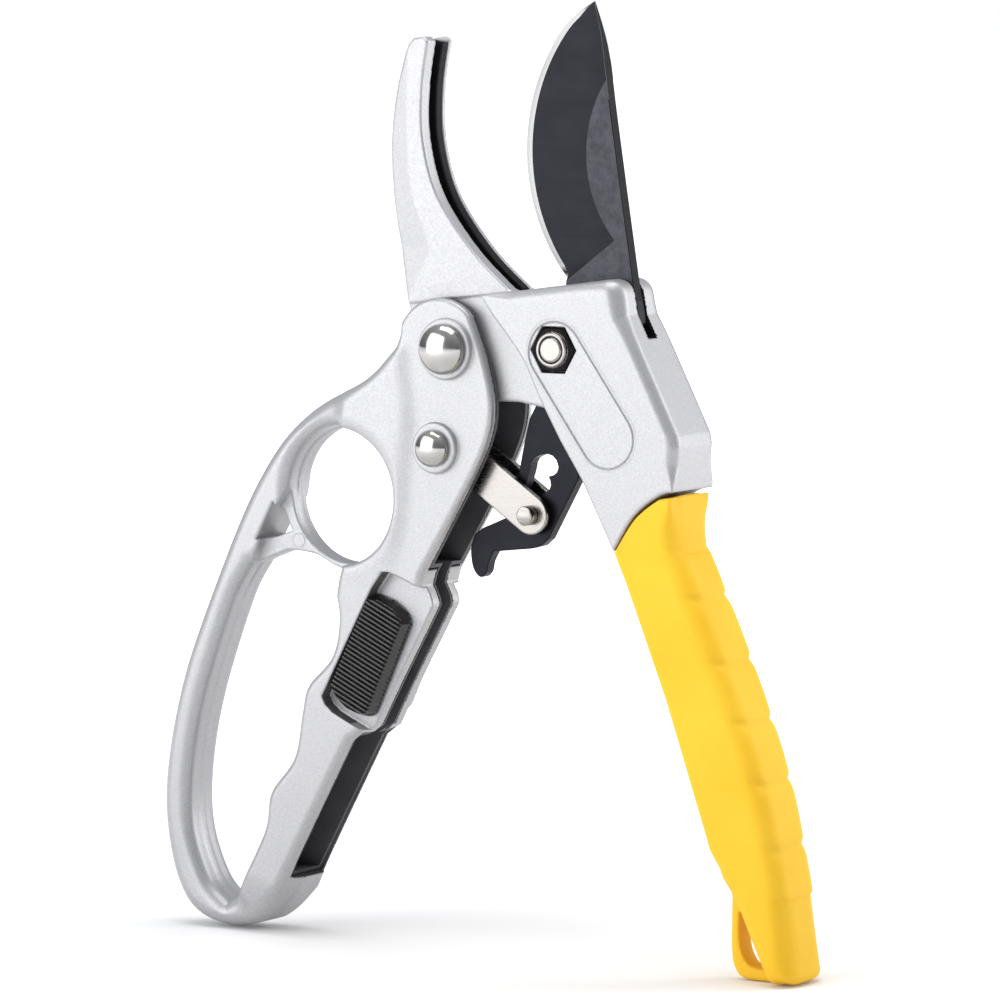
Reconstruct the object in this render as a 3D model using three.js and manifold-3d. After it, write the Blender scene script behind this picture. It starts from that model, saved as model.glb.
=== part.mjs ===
// Ratchet-action hand pruner with a finger-guard handle, standing open on its two handle ends.
// Millimetres. X runs across the tool, Y through its thickness (the nut side faces -Y), +Z is up.
// Outlines are drawn in the X-Z plane with the main pivot at (0, 0).
import * as THREE from 'three';
import { mergeVertices } from 'three/addons/utils/BufferGeometryUtils.js';
import Module from 'manifold-3d';

const wasm = await Module();
wasm.setup();

// ---- driving dimensions ----
const GAP = 0.3;                   // running clearance between neighbouring pieces
const HALF_BODY = 9.5;             // half thickness of both handles
const HALF_TONGUE = 5.5;           // half thickness of the hook jaw and the tongue behind it
const HALF_CHANNEL = 7.3;          // half width of the channels inside the castings
const HALF_BLADE = 1.6;            // half thickness of the blade
const HALF_SLOT = 2.0;             // half width of the slot the blade swings in
const HALF_BAR = 6.5;              // half depth of the finger guard bar
const HALF_WEB = 2.9;              // half depth of the finger ring and its strut
const PIVOT = [-29.4, -0.7];       // guard handle pivot
const LINK_PIVOT = [-32.3, -24.2]; // link pivot in the guard handle
const LINK_PIN = [-9.6, -39.5];    // link pin in the ratchet window, handles open
const BOLT_R = 3.0;
const NUT_FLATS = 10.0;
const RIVET_R = 3.0;
const LINK_RIVET_R = 2.4;
const CLOSE_HANDLE = 44;           // degrees from open to closed
const BLADE_RATIO = 0.74;          // blade turn for each degree of handle turn
const LATCH_CENTRE = [-52.6, -75.4];
const LATCH_TILT = 25.5;           // lean of the latch slide from the vertical, degrees
const LATCH_TRAVEL = 5.5;

// ---- geometry helpers ----
const rad = THREE.MathUtils.degToRad;
const v2 = (p) => new THREE.Vector2(p[0], p[1]);
const polar = (c, r, deg) => [c[0] + r * Math.cos(rad(deg)), c[1] + r * Math.sin(rad(deg))];

// points along an arc, from one angle to the other
function arcPoints(c, r, from, to, n) {
  return Array.from({ length: n + 1 }, (_, i) => polar(c, r, from + ((to - from) * i) / n));
}

// points along a smooth curve through the given ones
function curvePoints(pts, n) {
  return new THREE.SplineCurve(pts.map(v2)).getPoints(n).map((p) => [p.x, p.y]);
}

// one closed outline from several runs of points, repeated points dropped
function outline(...runs) {
  const pts = runs.flat().filter((p, i, all) => {
    const q = all[(i + 1) % all.length];
    return Math.hypot(p[0] - q[0], p[1] - q[1]) > 0.02;
  });
  return new THREE.Shape(pts.map(v2));
}

const circle = (c, r, n = 32) => outline(arcPoints(c, r, 0, 360, n));

// flat plate between two depths, with its edges rounded by the given amount
function plate(shape, y0, y1, edge = 0, steps = 2) {
  const geo = new THREE.ExtrudeGeometry(shape, {
    depth: y1 - y0 - 2 * edge, steps: 1, curveSegments: 12, bevelEnabled: edge > 0,
    bevelThickness: edge, bevelSize: edge, bevelOffset: -edge, bevelSegments: steps,
  });
  geo.rotateX(Math.PI / 2);
  geo.translate(0, y1 - edge, 0);
  return solid(geo);
}
const slab = (shape, half, edge = 0, steps = 2) => plate(shape, -half, half, edge, steps);

function solid(geometry) {
  const geo = geometry.clone();
  geo.deleteAttribute('normal');
  geo.deleteAttribute('uv');
  const merged = mergeVertices(geo, 1e-4);
  return new wasm.Manifold(new wasm.Mesh({
    numProp: 3,
    vertProperties: new Float32Array(merged.attributes.position.array),
    triVerts: new Uint32Array(merged.index.array),
  }));
}

// turned solid round a line through (x, z) along Y; the profile is [radius, y] pairs
function turned(c, profile, segments = 28) {
  const geo = new THREE.LatheGeometry(profile.map(v2), segments);
  geo.translate(c[0], 0, c[1]);
  return solid(geo);
}

const bore = (c, r, half, segments = 28) =>
  turned(c, [[0, -half], [r, -half], [r, half], [0, half]], segments);

const join = (...parts) => parts.reduce((a, b) => a.add(b));
const cut = (a, ...tools) => tools.reduce((s, t) => s.subtract(t), a);
const bothSides = (make) => join(make(1), make(-1));

function toGeometry(body) {
  const mesh = body.getMesh();
  const geo = new THREE.BufferGeometry();
  geo.setAttribute('position', new THREE.BufferAttribute(new Float32Array(mesh.vertProperties), 3));
  geo.setIndex(new THREE.BufferAttribute(new Uint32Array(mesh.triVerts), 1));
  return geo;
}

// latch slide frame: across and along the slide, to X and Z
const lean = rad(LATCH_TILT);
const latch = (across, along) => [
  LATCH_CENTRE[0] + across * Math.cos(lean) + along * Math.sin(lean),
  LATCH_CENTRE[1] - across * Math.sin(lean) + along * Math.cos(lean),
];
const latchBox = (a0, a1, b0, b1) =>
  outline([latch(a0, b0), latch(a1, b0), latch(a1, b1), latch(a0, b1)]);

// ---- main casting: head, hook jaw, tongue and the tang inside the grip ----
const hookInner = [[-37.2, 71.6], [-38.9, 60], [-38.6, 48], [-34.6, 35.2], [-25, 22.6], [-14.8, 13.6]];
const hookOuter = [
  [-43.9, 5.4], [-45.1, 15.4], [-47.2, 30.5], [-48.2, 46], [-46.9, 57.8], [-44.2, 67.4], [-42.6, 70.8],
];

function hookOutline() {
  const heel = [[-14.8, 13.6], [-8, 10], [-6, -14.8], [-12, -12.8], [-16.5, -12.9]];
  const end = arcPoints(PIVOT, 12.6, 268, 176, 8);
  const tip = [[-41.3, 72.2], [-38.4, 72.6]];
  return outline(heel, end, curvePoints(hookOuter, 16), tip, curvePoints(hookInner, 16));
}

function headOutline() {
  const left = curvePoints([[-16.6, 7.4], [-8.6, -2.2], [-3.9, -11.2], [1.8, -21.1]], 10);
  const scoop = curvePoints([[16.3, -46.4], [21.7, -38], [28.3, -33], [32.2, -31.9]], 5);
  const right = [[33.0, -21.6], [32.6, -19.0], [18.6, 8.4]];
  const corner = arcPoints([13.6, 12.4], 4.2, 8, 92, 5);
  return outline(left, [[7.7, -30]], scoop, right, corner, [[-20.2, 12.2]]);
}

// slot for the blade and its tail between their open and closed positions
function bladeSlot() {
  const swing = outline(
    arcPoints([0, 0], 14, 150, 212, 5),
    [[-13.0, -13.0], [-14.6, -20], [-16, -60], [12, -56], [20.8, -46], [21.2, -36], [19.9, -23],
      [16.4, -13.2]],
    arcPoints([0, 0], 14, -22, 12, 4),
    [[26, 3], [30, 8], [24, 30], [-16, 30], [-17.2, 12.6]],
  );
  return slab(swing, HALF_SLOT);
}

// wider hollow for the link and its pin
function linkHollow() {
  const reach = outline([[-6, -17.2], [2, -17.4], [12.8, -20.2], [16.6, -24], [17.2, -33], [14, -44],
    [-10, -52], [-14, -24]]);
  return slab(reach, HALF_CHANNEL);
}

// groove along the hook's inner edge for the liner
function hookGroove(half, depth, rise, past = 0) {
  const along = [[-37.2 + past * 0.15, 71.6 + past], ...curvePoints(hookInner, 20)].slice(past > 0 ? 0 : 1);
  const floor = along.map((p, i) => shifted(along, i, -depth)).reverse();
  const mouth = along.map((p, i) => shifted(along, i, rise));
  return slab(outline(mouth, floor), half);
}

// point i of a curve moved sideways, positive to its left
function shifted(pts, i, d) {
  const a = pts[Math.max(i - 1, 0)];
  const b = pts[Math.min(i + 1, pts.length - 1)];
  const len = Math.hypot(b[0] - a[0], b[1] - a[1]);
  return [pts[i][0] - ((b[1] - a[1]) / len) * d, pts[i][1] + ((b[0] - a[0]) / len) * d];
}

function hexagon(c, flats) {
  return outline(arcPoints(c, flats / Math.sqrt(3), 0, 360, 6));
}

const tangLine = [[26, -42], [54.5, -117]];
function tang(extra) {
  const w = 4.6 + extra;
  const [a, b] = tangLine;
  const len = Math.hypot(b[0] - a[0], b[1] - a[1]);
  const n = [-(b[1] - a[1]) / len, (b[0] - a[0]) / len];
  const top = [a[0] - (b[0] - a[0]) * 0.13, a[1] - (b[1] - a[1]) * 0.13];
  const low = [b[0] + ((b[0] - a[0]) / len) * extra, b[1] + ((b[1] - a[1]) / len) * extra];
  const side = (p, s) => [p[0] + n[0] * s * w, p[1] + n[1] * s * w];
  return slab(outline([side(top, 1), side(low, 1), side(low, -1), side(top, -1)]), 5.2 + extra, 0.8, 1);
}

function stadium(half, depth) {
  const a = [0.5, -0.6];
  const b = [14.6, -20.2];
  const dir = THREE.MathUtils.radToDeg(Math.atan2(b[1] - a[1], b[0] - a[0]));
  const pts = outline(arcPoints(a, half, dir + 90, dir + 270, 14), arcPoints(b, half, dir - 90, dir + 90, 14));
  return plate(pts, -HALF_BODY - 1, -HALF_BODY + depth);
}

function mainCasting() {
  const jaw = slab(hookOutline(), HALF_TONGUE, 1.0);
  const head = slab(headOutline(), HALF_BODY, 1.6, 3);
  const springRoom = slab(outline(arcPoints(PIVOT, 8.2, -20, 200, 12),
    [[-42, -6], [-42, -16], [-18, -16], [-21.7, -6]]), 3.0);
  return cut(join(jaw, head, tang(0)), bladeSlot(), linkHollow(), springRoom,
    hookGroove(2.8, 4.9, 3, 4), stadium(7.1, 0.4), bore([0, 0], BOLT_R + GAP, 12),
    bore(PIVOT, RIVET_R + GAP, 8), plate(hexagon([0, 0], NUT_FLATS + 0.7), -12, -5.2));
}

// ---- liner pressed into the groove of the hook ----
function hookLiner() {
  return cut(hookGroove(2.5, 4.6, -0.6), hookGroove(1.45, 3.9, 3, 4));
}

// ---- grip over the tang ----
const GRIP_GROOVES = 7;
const FOOT_Z = -144.95;             // both handle ends stand at this height
const gripBack = new THREE.SplineCurve([[33.4, -46.2], [45.1, -71.8], [55.4, -99], [61.4, -125.4]].map(v2));

function gripOutline() {
  const left = [[30.0, -80], [41.0, -111.5], [44.0, -121], [47.4, -125.6]];
  const foot = [[56.4, FOOT_Z], [63.9, FOOT_Z]];
  const back = gripBack.getPoints(12).map((p) => [p.x, p.y]).reverse();
  const scoop = curvePoints([[28.3, -33.6], [21.9, -38.6], [16.4, -46.6]], 4);
  return outline(left, foot, back, [[32.2, -38], [31.9, -32.4]], scoop);
}

// thin hanging loop at the end of the grip
function hangLoop() {
  const strap = outline([[50, -118], [44.0, -120.5]], curvePoints([[43.9, -126], [44.3, -132], [45.3, -138.4],
    [49.4, -143.8]], 7), [[60, -144.2], [60, -136]]);
  const eye = outline(curvePoints([[46.2, -127.6], [46.5, -133.6], [48.4, -138.8], [52.6, -141.2]], 7),
    [[56.2, -140.8], [51.2, -131.6]]);
  return cut(slab(strap, 2.9, 0.9, 2), slab(eye, 12));
}

function grip() {
  const notch = slab(outline([[10, -40], [21.2, -36], [20.8, -46.2], [12, -56]]), HALF_SLOT + 0.2);
  const grooves = Array.from({ length: GRIP_GROOVES }, (_, i) => {
    const p = gripBack.getPoint(i / (GRIP_GROOVES - 1));
    return slab(circle([p.x + 1.0, p.y + 0.3], 1.6, 12), 12);
  });
  return cut(join(slab(gripOutline(), 9.3, 2.6, 3), hangLoop()), tang(GAP), notch, ...grooves);
}

// ---- blade with the ratchet tail in one plate ----
const EDGE_CENTRE = [32.3, 46.2];
const EDGE_R = 45.3;
const BEVEL_CENTRE = [34.2, 45.6];
const BEVEL_R = 30;
const bladeSpine = new THREE.SplineCurve(
  [[17.3, 13.4], [14.1, 33.5], [10.8, 54.7], [8.4, 70.6], [5.6, 80.9]].map(v2));

// x of the cutting edge, the bevel line and the spine at one height
function bladeStation(t) {
  const spine = bladeSpine.getPoint(t);
  const z = spine.y;
  const edge = EDGE_CENTRE[0] - Math.sqrt(EDGE_R ** 2 - (z - EDGE_CENTRE[1]) ** 2);
  const heel = -1.6 + (z - 15.6) * 1.357;
  const arc = z < 62 ? BEVEL_CENTRE[0] - Math.sqrt(BEVEL_R ** 2 - (z - BEVEL_CENTRE[1]) ** 2) : 99;
  const far = z > 45 ? 0 : heel;
  const line = z < 25.4 ? far : arc;
  const fade = Math.min(1, (81.4 - z) / 19);
  return { z, edge: Math.min(edge, spine.x - 0.5), spine: spine.x, line: Math.min(line, spine.x - 0.3), fade };
}

// blade above the heel, thinned from the bevel line to the cutting edge
function ground() {
  const rows = 26;
  const pos = [];
  for (let i = 0; i <= rows; i++) {
    const s = bladeStation(i / rows);
    const back = HALF_BLADE * s.fade;
    const mid = Math.max(s.line, s.edge + 0.25);
    for (const [x, y] of [[s.edge, -0.12], [mid, -back], [s.spine, -back], [s.spine, back], [mid, back],
      [s.edge, 0.12]]) pos.push(x, y, s.z);
  }
  return loft(pos, 6);
}

// closed skin over rows of points, each row one closed ring
function loft(pos, ring) {
  const rows = pos.length / 3 / ring;
  const idx = [];
  for (let i = 0; i + 1 < rows; i++) {
    for (let k = 0; k < ring; k++) {
      const a = i * ring + k;
      const b = i * ring + ((k + 1) % ring);
      idx.push(a, b, b + ring, a, b + ring, a + ring);
    }
  }
  for (let k = 1; k + 1 < ring; k++) {
    idx.push(0, k + 1, k);
    const top = (rows - 1) * ring;
    idx.push(top, top + k, top + k + 1);
  }
  const geo = new THREE.BufferGeometry();
  geo.setAttribute('position', new THREE.BufferAttribute(new Float32Array(pos), 3));
  geo.setIndex(idx);
  return solid(geo);
}

function tailOutline() {
  const heel = [[-2.9, 15.9], [-5.6, 12.4]];
  const hub = arcPoints([0, 0], 13.5, 113, 208, 9);
  const left = [[-9.7, -14], [-11.4, -17], [-12.7, -22.2], [-15.6, -36], [-17.6, -40.6], [-24.3, -43.4]];
  const prong = curvePoints([[-26.6, -45], [-27.7, -48.6], [-27.1, -53], [-25.1, -55.2], [-23.3, -54],
    [-22.6, -51.4], [-21.2, -48.9]], 10);
  const arm = [[-10.8, -47.7], [-8, -46.9], [-6, -45.2], [2.0, -30.9]];
  const right = [[5.0, -20]];
  const rim = arcPoints([0, 0], 13.5, -62, 16, 8);
  const shoulder = [[17.0, 4.8], [18.7, 6.3], [18.3, 9.2], [17.0, 15.4]];
  return outline(heel, hub, left, prong, arm, right, rim, shoulder);
}

function ratchetWindow() {
  return outline(
    arcPoints([-6.2, -28.4], 2.6, 150, -50, 9), [[-4.9, -31.1]],
    arcPoints([-7.6, -32.6], 2.0, 10, -70, 5), [[-7.1, -35.4]],
    arcPoints(LINK_PIN, 2.0, 30, -150, 8), [[-11.5, -38.4], [-11.2, -36], [-10.3, -32], [-9.3, -28.6]],
  );
}

function blade() {
  const tail = slab(tailOutline(), HALF_BLADE, 0.3, 1);
  return cut(join(tail, ground()), bore([0, 0], BOLT_R + GAP, 5), slab(ratchetWindow(), 5));
}

// ---- main bolt and its nut ----
function mainBolt() {
  const head = plate(hexagon([0, 0], NUT_FLATS), HALF_BODY + 1.5, HALF_BODY + 5.2, 0.5, 1);
  return join(head, turned([0, 0], [[0, -10.9], [2.5, -10.9], [BOLT_R, -10.4], [BOLT_R, 12], [0, 12]]));
}

function boltWasher() {
  return turned([0, 0], [[BOLT_R + GAP, HALF_BODY + 0.1], [6.6, HALF_BODY + 0.1], [6.6, HALF_BODY + 1.2],
    [BOLT_R + GAP, HALF_BODY + 1.2], [BOLT_R + GAP, HALF_BODY + 0.1]]);
}

function mainNut() {
  const body = plate(hexagon([0, 0], NUT_FLATS), -10.0, -5.5, 0.4, 1);
  const collar = turned([0, 0], [[0, -10.7], [3.7, -10.7], [4.2, -10.2], [4.2, -9], [0, -9]]);
  return cut(join(body, collar), bore([0, 0], BOLT_R + GAP, 14));
}

// ---- guard handle casting ----
const gripEdge = [[-36.6, -54.6], [-26.5, -37.5], [-19.3, -24.3], [-17.0, -14.5], [-19.0, -4], [-24.6, 7.2]];
const guardOuter = [[-45.4, -4.2], [-52.8, -10.5], [-64.3, -16.4], [-75.3, -24.3],
  [-84, -35.6], [-94.1, -53.6], [-104, -74], [-109.8, -91.2], [-113.2, -110], [-112.2, -124.6],
  [-106, -138], [-97.6, -144.7], [-88, -142.8], [-77.6, -133]];
const RING_CENTRE = [-61, -37];
const RING_R = 16.6;
const fingerEdge = [[-63.4, -55.3], [-60.6, -65], [-62.4, -75.4], [-69.4, -83.2], [-71.3, -90],
  [-73.6, -101], [-80.4, -110], [-82.4, -119.6], [-90.8, -135.4]];

// outline of the thick body: fork, latch zone and lower channel
function bodyOutline() {
  const lower = [[-86, -139.6], [-78.4, -133.2], [-57.6, -95.6], [-54.4, -93.6]];
  const zone = curvePoints([[-52, -92.2], [-45.8, -80.8], [-37.2, -65.4], [-35.6, -61.6], [-37.4, -57.4]], 10);
  const top = arcPoints([-32, -0.7], 11.9, 42, 155, 8);
  const left = curvePoints([[-43.4, -1.6], [-51, -9.4], [-58, -14.2]], 6);
  const ringSide = arcPoints(RING_CENTRE, RING_R, 84, -84, 14);
  return outline(lower, zone, curvePoints(gripEdge, 14), top, left, ringSide, curvePoints(fingerEdge, 22));
}

// outline of the bowed guard with the finger ring and the strut
function guardOutline() {
  const back = [[-58, -94], [-49, -74], [-45, -40], [-42, -9], [-42.6, -2]];
  return outline(curvePoints(guardOuter, 32), back);
}

function fingerOpening() {
  const inner = [[-88.2, -55], [-94.9, -64.4], [-104.4, -87.6], [-108.3, -106], [-107.6, -120.6],
    [-102.2, -133], [-96, -138.6]];
  const strut = [[-66.4, -54.3], [-71.6, -52], [-79, -51.4]];
  return outline(curvePoints(inner, 18), curvePoints([...fingerEdge].reverse(), 22),
    curvePoints(strut, 5));
}

const strutHole = () => outline([[-81.2, -39.4], [-86.3, -48.9], [-82, -48], [-78.1, -46.6], [-79.6, -43]]);

// hollow between the two walls, open along the grip side
function channel(grow) {
  const g = grow;
  const upper = outline(
    [[-10, -54], [-10, 20], [-48, 20], [-48, 0.5]],
    curvePoints([[-46.5 - g, -4], [-46 - g, -12], [-41.2 - g, -24], [-40.9 - g, -38],
      [-46.5 - g, -53.5 - g]], 12),
    [[-36, -53.5 - g]],
  );
  const lower = outline([latch(20, -17.6 + g), latch(-4.4 - g, -17.6 + g)],
    curvePoints([[-69 - g, -92.8], [-70.8 - g, -101], [-77.4 - g, -112], [-79 - g, -120.6],
      [-84 - g, -130.6 - g]], 8),
    [[-60, -130.6 - g]]);
  return { upper, lower, zone: latchBox(-5.6 - g, 16, -30, 34) };
}

function channelRoom(upperHalf, zoneHalf, lowerHalf, grow) {
  const c = channel(grow);
  return join(slab(c.upper, upperHalf), slab(c.lower, lowerHalf), slab(c.zone, zoneHalf));
}

const latchPocket = () => outline([latch(-6.2, -14.6), latch(-4.2, -16.8), latch(20, -16.8), latch(20, 23),
  latch(5, 22.2), latch(-3.8, 21.4), latch(-6.2, 19.4)]);
const latchWindow = () => latchBox(-5.4, 1.2, -12.6, 18.4);

function guardHandle() {
  const body = slab(bodyOutline(), HALF_BODY, 1.3);
  const webRoom = outline([[-88.6, -56.6], [-84.2, -46.5], [-77.6, -36], [-70, -34], [-56, -52], [-60, -62]]);
  const bar = cut(slab(guardOutline(), HALF_BAR, 2.2), slab(webRoom, 12));
  const strut = outline([[-60, -50], [-66, -55], [-79, -52], [-88, -56], [-94, -62], [-92, -46], [-76, -43]]);
  const ring = slab(circle(RING_CENTRE, RING_R + 3.7, 36), HALF_WEB, 0.8, 1);
  const web = join(ring, slab(strut, HALF_WEB)).intersect(slab(guardOutline(), HALF_BODY));
  const whole = cut(join(body, bar, web), slab(circle(RING_CENTRE, RING_R, 40), 12),
    slab(fingerOpening(), 12), slab(strutHole(), 12));
  const bosses = bothSides((s) => {
    const y = s * (HALF_BODY + 1.4);
    const side = (c, r) => turned(c, s > 0 ? [[0, 8], [r, 8], [r, y - 0.4], [r - 0.4, y], [0, y]]
      : [[0, y], [r - 0.4, y], [r, y + 0.4], [r, -8], [0, -8]]);
    return join(side(LINK_PIVOT, 6.0), side(PIVOT, 7.2));
  });
  const pockets = bothSides((s) => join(plate(latchPocket(), s > 0 ? 6 : -14, s > 0 ? 14 : -6),
    plate(latchWindow(), s > 0 ? 2 : -8, s > 0 ? 8 : -2)));
  return cut(join(whole, bosses), channelRoom(HALF_CHANNEL, 3.0, HALF_CHANNEL, 0), pockets,
    bore(PIVOT, RIVET_R + GAP, 14), bore(LINK_PIVOT, LINK_RIVET_R + GAP, 14));
}

// ---- dark steel channel inside the guard handle ----
function channelLiner() {
  const shell = slab(bodyOutline(), 8, 0);
  const outer = channelRoom(HALF_CHANNEL - GAP, 2.7, HALF_CHANNEL - GAP, -GAP);
  const inner = channelRoom(HALF_TONGUE + 0.45, 2.05, HALF_TONGUE + 0.45, -1.3);
  const trim = slab(bodyOutline(), 9);
  const windows = bothSides((s) => plate(latchWindow(), s > 0 ? 1 : -8, s > 0 ? 8 : -1));
  return cut(outer.intersect(trim).intersect(shell), inner, windows, bore(PIVOT, RIVET_R + GAP, 14),
    bore(LINK_PIVOT, LINK_RIVET_R + GAP, 14));
}

// ---- rivets ----
function rivet(c, r, dome, seat) {
  const top = seat + dome * 0.52;
  const rings = 5;
  const cap = (s) => Array.from({ length: rings + 1 }, (_, i) => {
    const a = rad((i * 90) / rings);
    return [dome * Math.cos(a), s * (seat + 0.5 + (top - seat) * Math.sin(a))];
  });
  const front = cap(-1).reverse();
  front[0][0] = 0;
  const back = cap(1);
  back[rings][0] = 0;
  return turned(c, [...front, [dome, -seat], [r, -seat], [r, seat], [dome, seat], ...back], 22);
}

// ---- torsion springs round the two rivets ----
function coil(c, r, wire, turns, half, legIn, legOut) {
  const pts = [legIn];
  const n = Math.round(turns * 12);
  for (let i = 0; i <= n; i++) {
    const a = rad(200 + (360 * i) / 12);
    const y = -half + (2 * half * i) / n;
    pts.push([c[0] + r * Math.cos(a), y, c[1] + r * Math.sin(a)]);
  }
  pts.push(legOut);
  const path = new THREE.CatmullRomCurve3(pts.map((p) => new THREE.Vector3(...p)), false, 'centripetal');
  const section = new THREE.Shape(arcPoints([0, 0], wire / 2, 0, 300, 5).map(v2));
  const geo = new THREE.ExtrudeGeometry(section, { steps: n + 10, extrudePath: path });
  return solid(geo);
}

function openingSpring() {
  return coil(PIVOT, 5.2, 1.2, 3, 1.95, [-38.8, -1.95, -27.5], [-26.4, 1.95, -6.6]);
}

function linkSpring() {
  return coil(LINK_PIVOT, 3.7, 0.9, 3, 1.5, [-38.6, -1.5, -36], [-25.6, 1.5, -33.6]);
}

// ---- link plates and their pin ----
function linkPlate(side) {
  const [s, p] = [LINK_PIVOT, LINK_PIN];
  const dir = THREE.MathUtils.radToDeg(Math.atan2(p[1] - s[1], p[0] - s[0]));
  const shape = outline(arcPoints(s, 4.7, dir + 90, dir + 270, 10), arcPoints(p, 4.6, dir - 90, dir + 90, 12));
  const body = side > 0 ? plate(shape, 2.75, 4.3, 0.25, 1) : plate(shape, -4.3, -2.75, 0.25, 1);
  return cut(body, bore(s, LINK_RIVET_R + GAP, 8), bore(p, 1.35 + GAP, 8));
}

function linkPin() {
  const half = [[0, -7], [1.9, -7], [2.3, -6.6], [2.3, -4.6], [1.35, -4.6]];
  return turned(LINK_PIN, [...half, ...half.map(([r, y]) => [r, -y]).reverse()], 24);
}

// ---- sliding latch: a ribbed button on each side and the catch between them ----
function latchButton(side) {
  const shape = (grow) => outline([latch(-5.2, -12.4 - grow), latch(5.2 + grow, -12.4 - grow)],
    [latch(5.2 + grow, 9.6)], [latch(3.4 + grow, 12.9 + grow), latch(0, 13.6 + grow),
      latch(-5.2, 13.2 + grow)]);
  const [a, b, c] = side > 0 ? [6.3, 8.6, 10.1] : [-8.6, -6.3, -10.1];
  const low = side > 0 ? plate(shape(1.6), a, b, 0.6, 1) : plate(shape(1.6), a, b, 0.6, 1);
  const top = side > 0 ? plate(shape(0), b - 1, c, 0.3, 1) : plate(shape(0), c, a + 1, 0.3, 1);
  const grooves = Array.from({ length: 11 }, (_, i) => {
    const u = -10.9 + i * 2.15;
    return plate(latchBox(-7, 4.4, u, u + 0.9), side > 0 ? 9.4 : -12, side > 0 ? 12 : -9.4);
  });
  return cut(join(low, top), ...grooves);
}

function latchBar() {
  const body = slab(outline([latch(-3.9, -11), latch(2.6, -11), latch(3.4, -4.6), latch(9.6, -3.2),
    latch(11, 1.2), latch(9.2, 1.6), latch(8.4, -1), latch(0.6, -0.6), latch(0.6, 10.6), latch(-3.9, 10.6),
    latch(-3.9, 8.2), latch(-2.1, 7.4), latch(-2.1, -7.4), latch(-3.9, -8.2)]), 1.5, 0.3, 1);
  const stems = slab(latchBox(-2.1, 0.4, -7.5, 8), 6.0);
  return join(body, stems);
}

// bowed leaf that presses the slide against the channel wall and holds it where it is set
function latchSpring() {
  const bow = (t, side) => latch(-3.95 + 1.5 * (1 - t * t) + side * 0.2, 6.4 * t);
  const face = (side) => Array.from({ length: 9 }, (_, i) => bow(-1 + i / 4, side));
  return slab(outline(face(1), face(-1).reverse()), 1.2);
}

// ---- scene graph ----
const silver = { color: 0xc9ccd0, roughness: 0.5, metalness: 0.6 };
const nickel = { color: 0xd8d2c8, roughness: 0.2, metalness: 1.0 };
const darkSteel = { color: 0x24262b, roughness: 0.45, metalness: 0.5 };
const yellow = { color: 0xf5ce2e, roughness: 0.6, metalness: 0.0 };
const plastic = { color: 0x141416, roughness: 0.5, metalness: 0.0 };

const tool = new THREE.Group();
function addPiece(name, body, look) {
  const geo = toGeometry(body);
  const mesh = new THREE.Mesh(geo, new THREE.MeshStandardMaterial(look));
  mesh.name = name;
  tool.add(mesh);
}

addPiece('main_casting', mainCasting(), silver);
addPiece('hook_liner', hookLiner(), plastic);
addPiece('grip', grip(), yellow);
addPiece('main_bolt', mainBolt(), nickel);
addPiece('bolt_washer', boltWasher(), nickel);
addPiece('main_nut', mainNut(), nickel);
addPiece('blade', blade(), darkSteel);
addPiece('guard_handle', guardHandle(), silver);
addPiece('channel_liner', channelLiner(), darkSteel);
addPiece('pivot_rivet', rivet(PIVOT, RIVET_R, 6.0, HALF_BODY + 1.7), nickel);
addPiece('link_rivet', rivet(LINK_PIVOT, LINK_RIVET_R, 4.4, HALF_BODY + 1.7), nickel);
addPiece('opening_spring', openingSpring(), darkSteel);
addPiece('link_spring', linkSpring(), nickel);
addPiece('link_plate_front', linkPlate(-1), nickel);
addPiece('link_plate_back', linkPlate(1), nickel);
addPiece('link_pin', linkPin(), nickel);
addPiece('latch_button_front', latchButton(-1), plastic);
addPiece('latch_button_back', latchButton(1), plastic);
addPiece('latch_bar', latchBar(), plastic);
addPiece('latch_spring', latchSpring(), darkSteel);

// stand the tool on Z = 0 with its footprint centred on the origin
const box = new THREE.Box3().setFromObject(tool);
const centre = box.getCenter(new THREE.Vector3());
tool.position.set(-centre.x, -centre.y, -box.min.z);
tool.updateMatrixWorld(true);

const group = new THREE.Group();
group.add(tool);
export default group;
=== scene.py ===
"""Looks for the ratchet hand pruner: castings, blade, rivets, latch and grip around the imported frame.

Shapes are drawn in millimetres in the X-Z plane, with the main bolt at (0, 0) and y = 0 in the middle of
the tool, and moved into the frame when the mesh is made. Cast and moulded pieces are the zero surface of
a distance field, so that their edges and joints flow as a casting's do.
"""
import math

import bpy
import numpy as np
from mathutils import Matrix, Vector


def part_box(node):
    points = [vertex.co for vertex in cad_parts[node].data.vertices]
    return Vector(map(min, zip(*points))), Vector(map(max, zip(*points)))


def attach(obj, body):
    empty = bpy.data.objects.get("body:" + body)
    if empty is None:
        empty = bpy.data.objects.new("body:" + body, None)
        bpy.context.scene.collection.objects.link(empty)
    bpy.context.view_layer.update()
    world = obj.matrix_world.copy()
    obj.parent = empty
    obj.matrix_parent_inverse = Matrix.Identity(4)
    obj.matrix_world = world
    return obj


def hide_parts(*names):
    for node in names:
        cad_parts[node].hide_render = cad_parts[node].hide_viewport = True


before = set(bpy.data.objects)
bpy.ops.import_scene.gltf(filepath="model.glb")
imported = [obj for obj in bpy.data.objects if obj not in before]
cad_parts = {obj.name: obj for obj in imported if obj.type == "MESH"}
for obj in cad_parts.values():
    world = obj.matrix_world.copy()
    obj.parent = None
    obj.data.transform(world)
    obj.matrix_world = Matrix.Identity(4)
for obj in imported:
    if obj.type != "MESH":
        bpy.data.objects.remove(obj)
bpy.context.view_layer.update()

MM = 0.001
nut_low, nut_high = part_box("main_nut")
ORIGIN = (nut_low + nut_high) / 2
ORIGIN.y = 0.0                          # main bolt axis, middle of the tool

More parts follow.
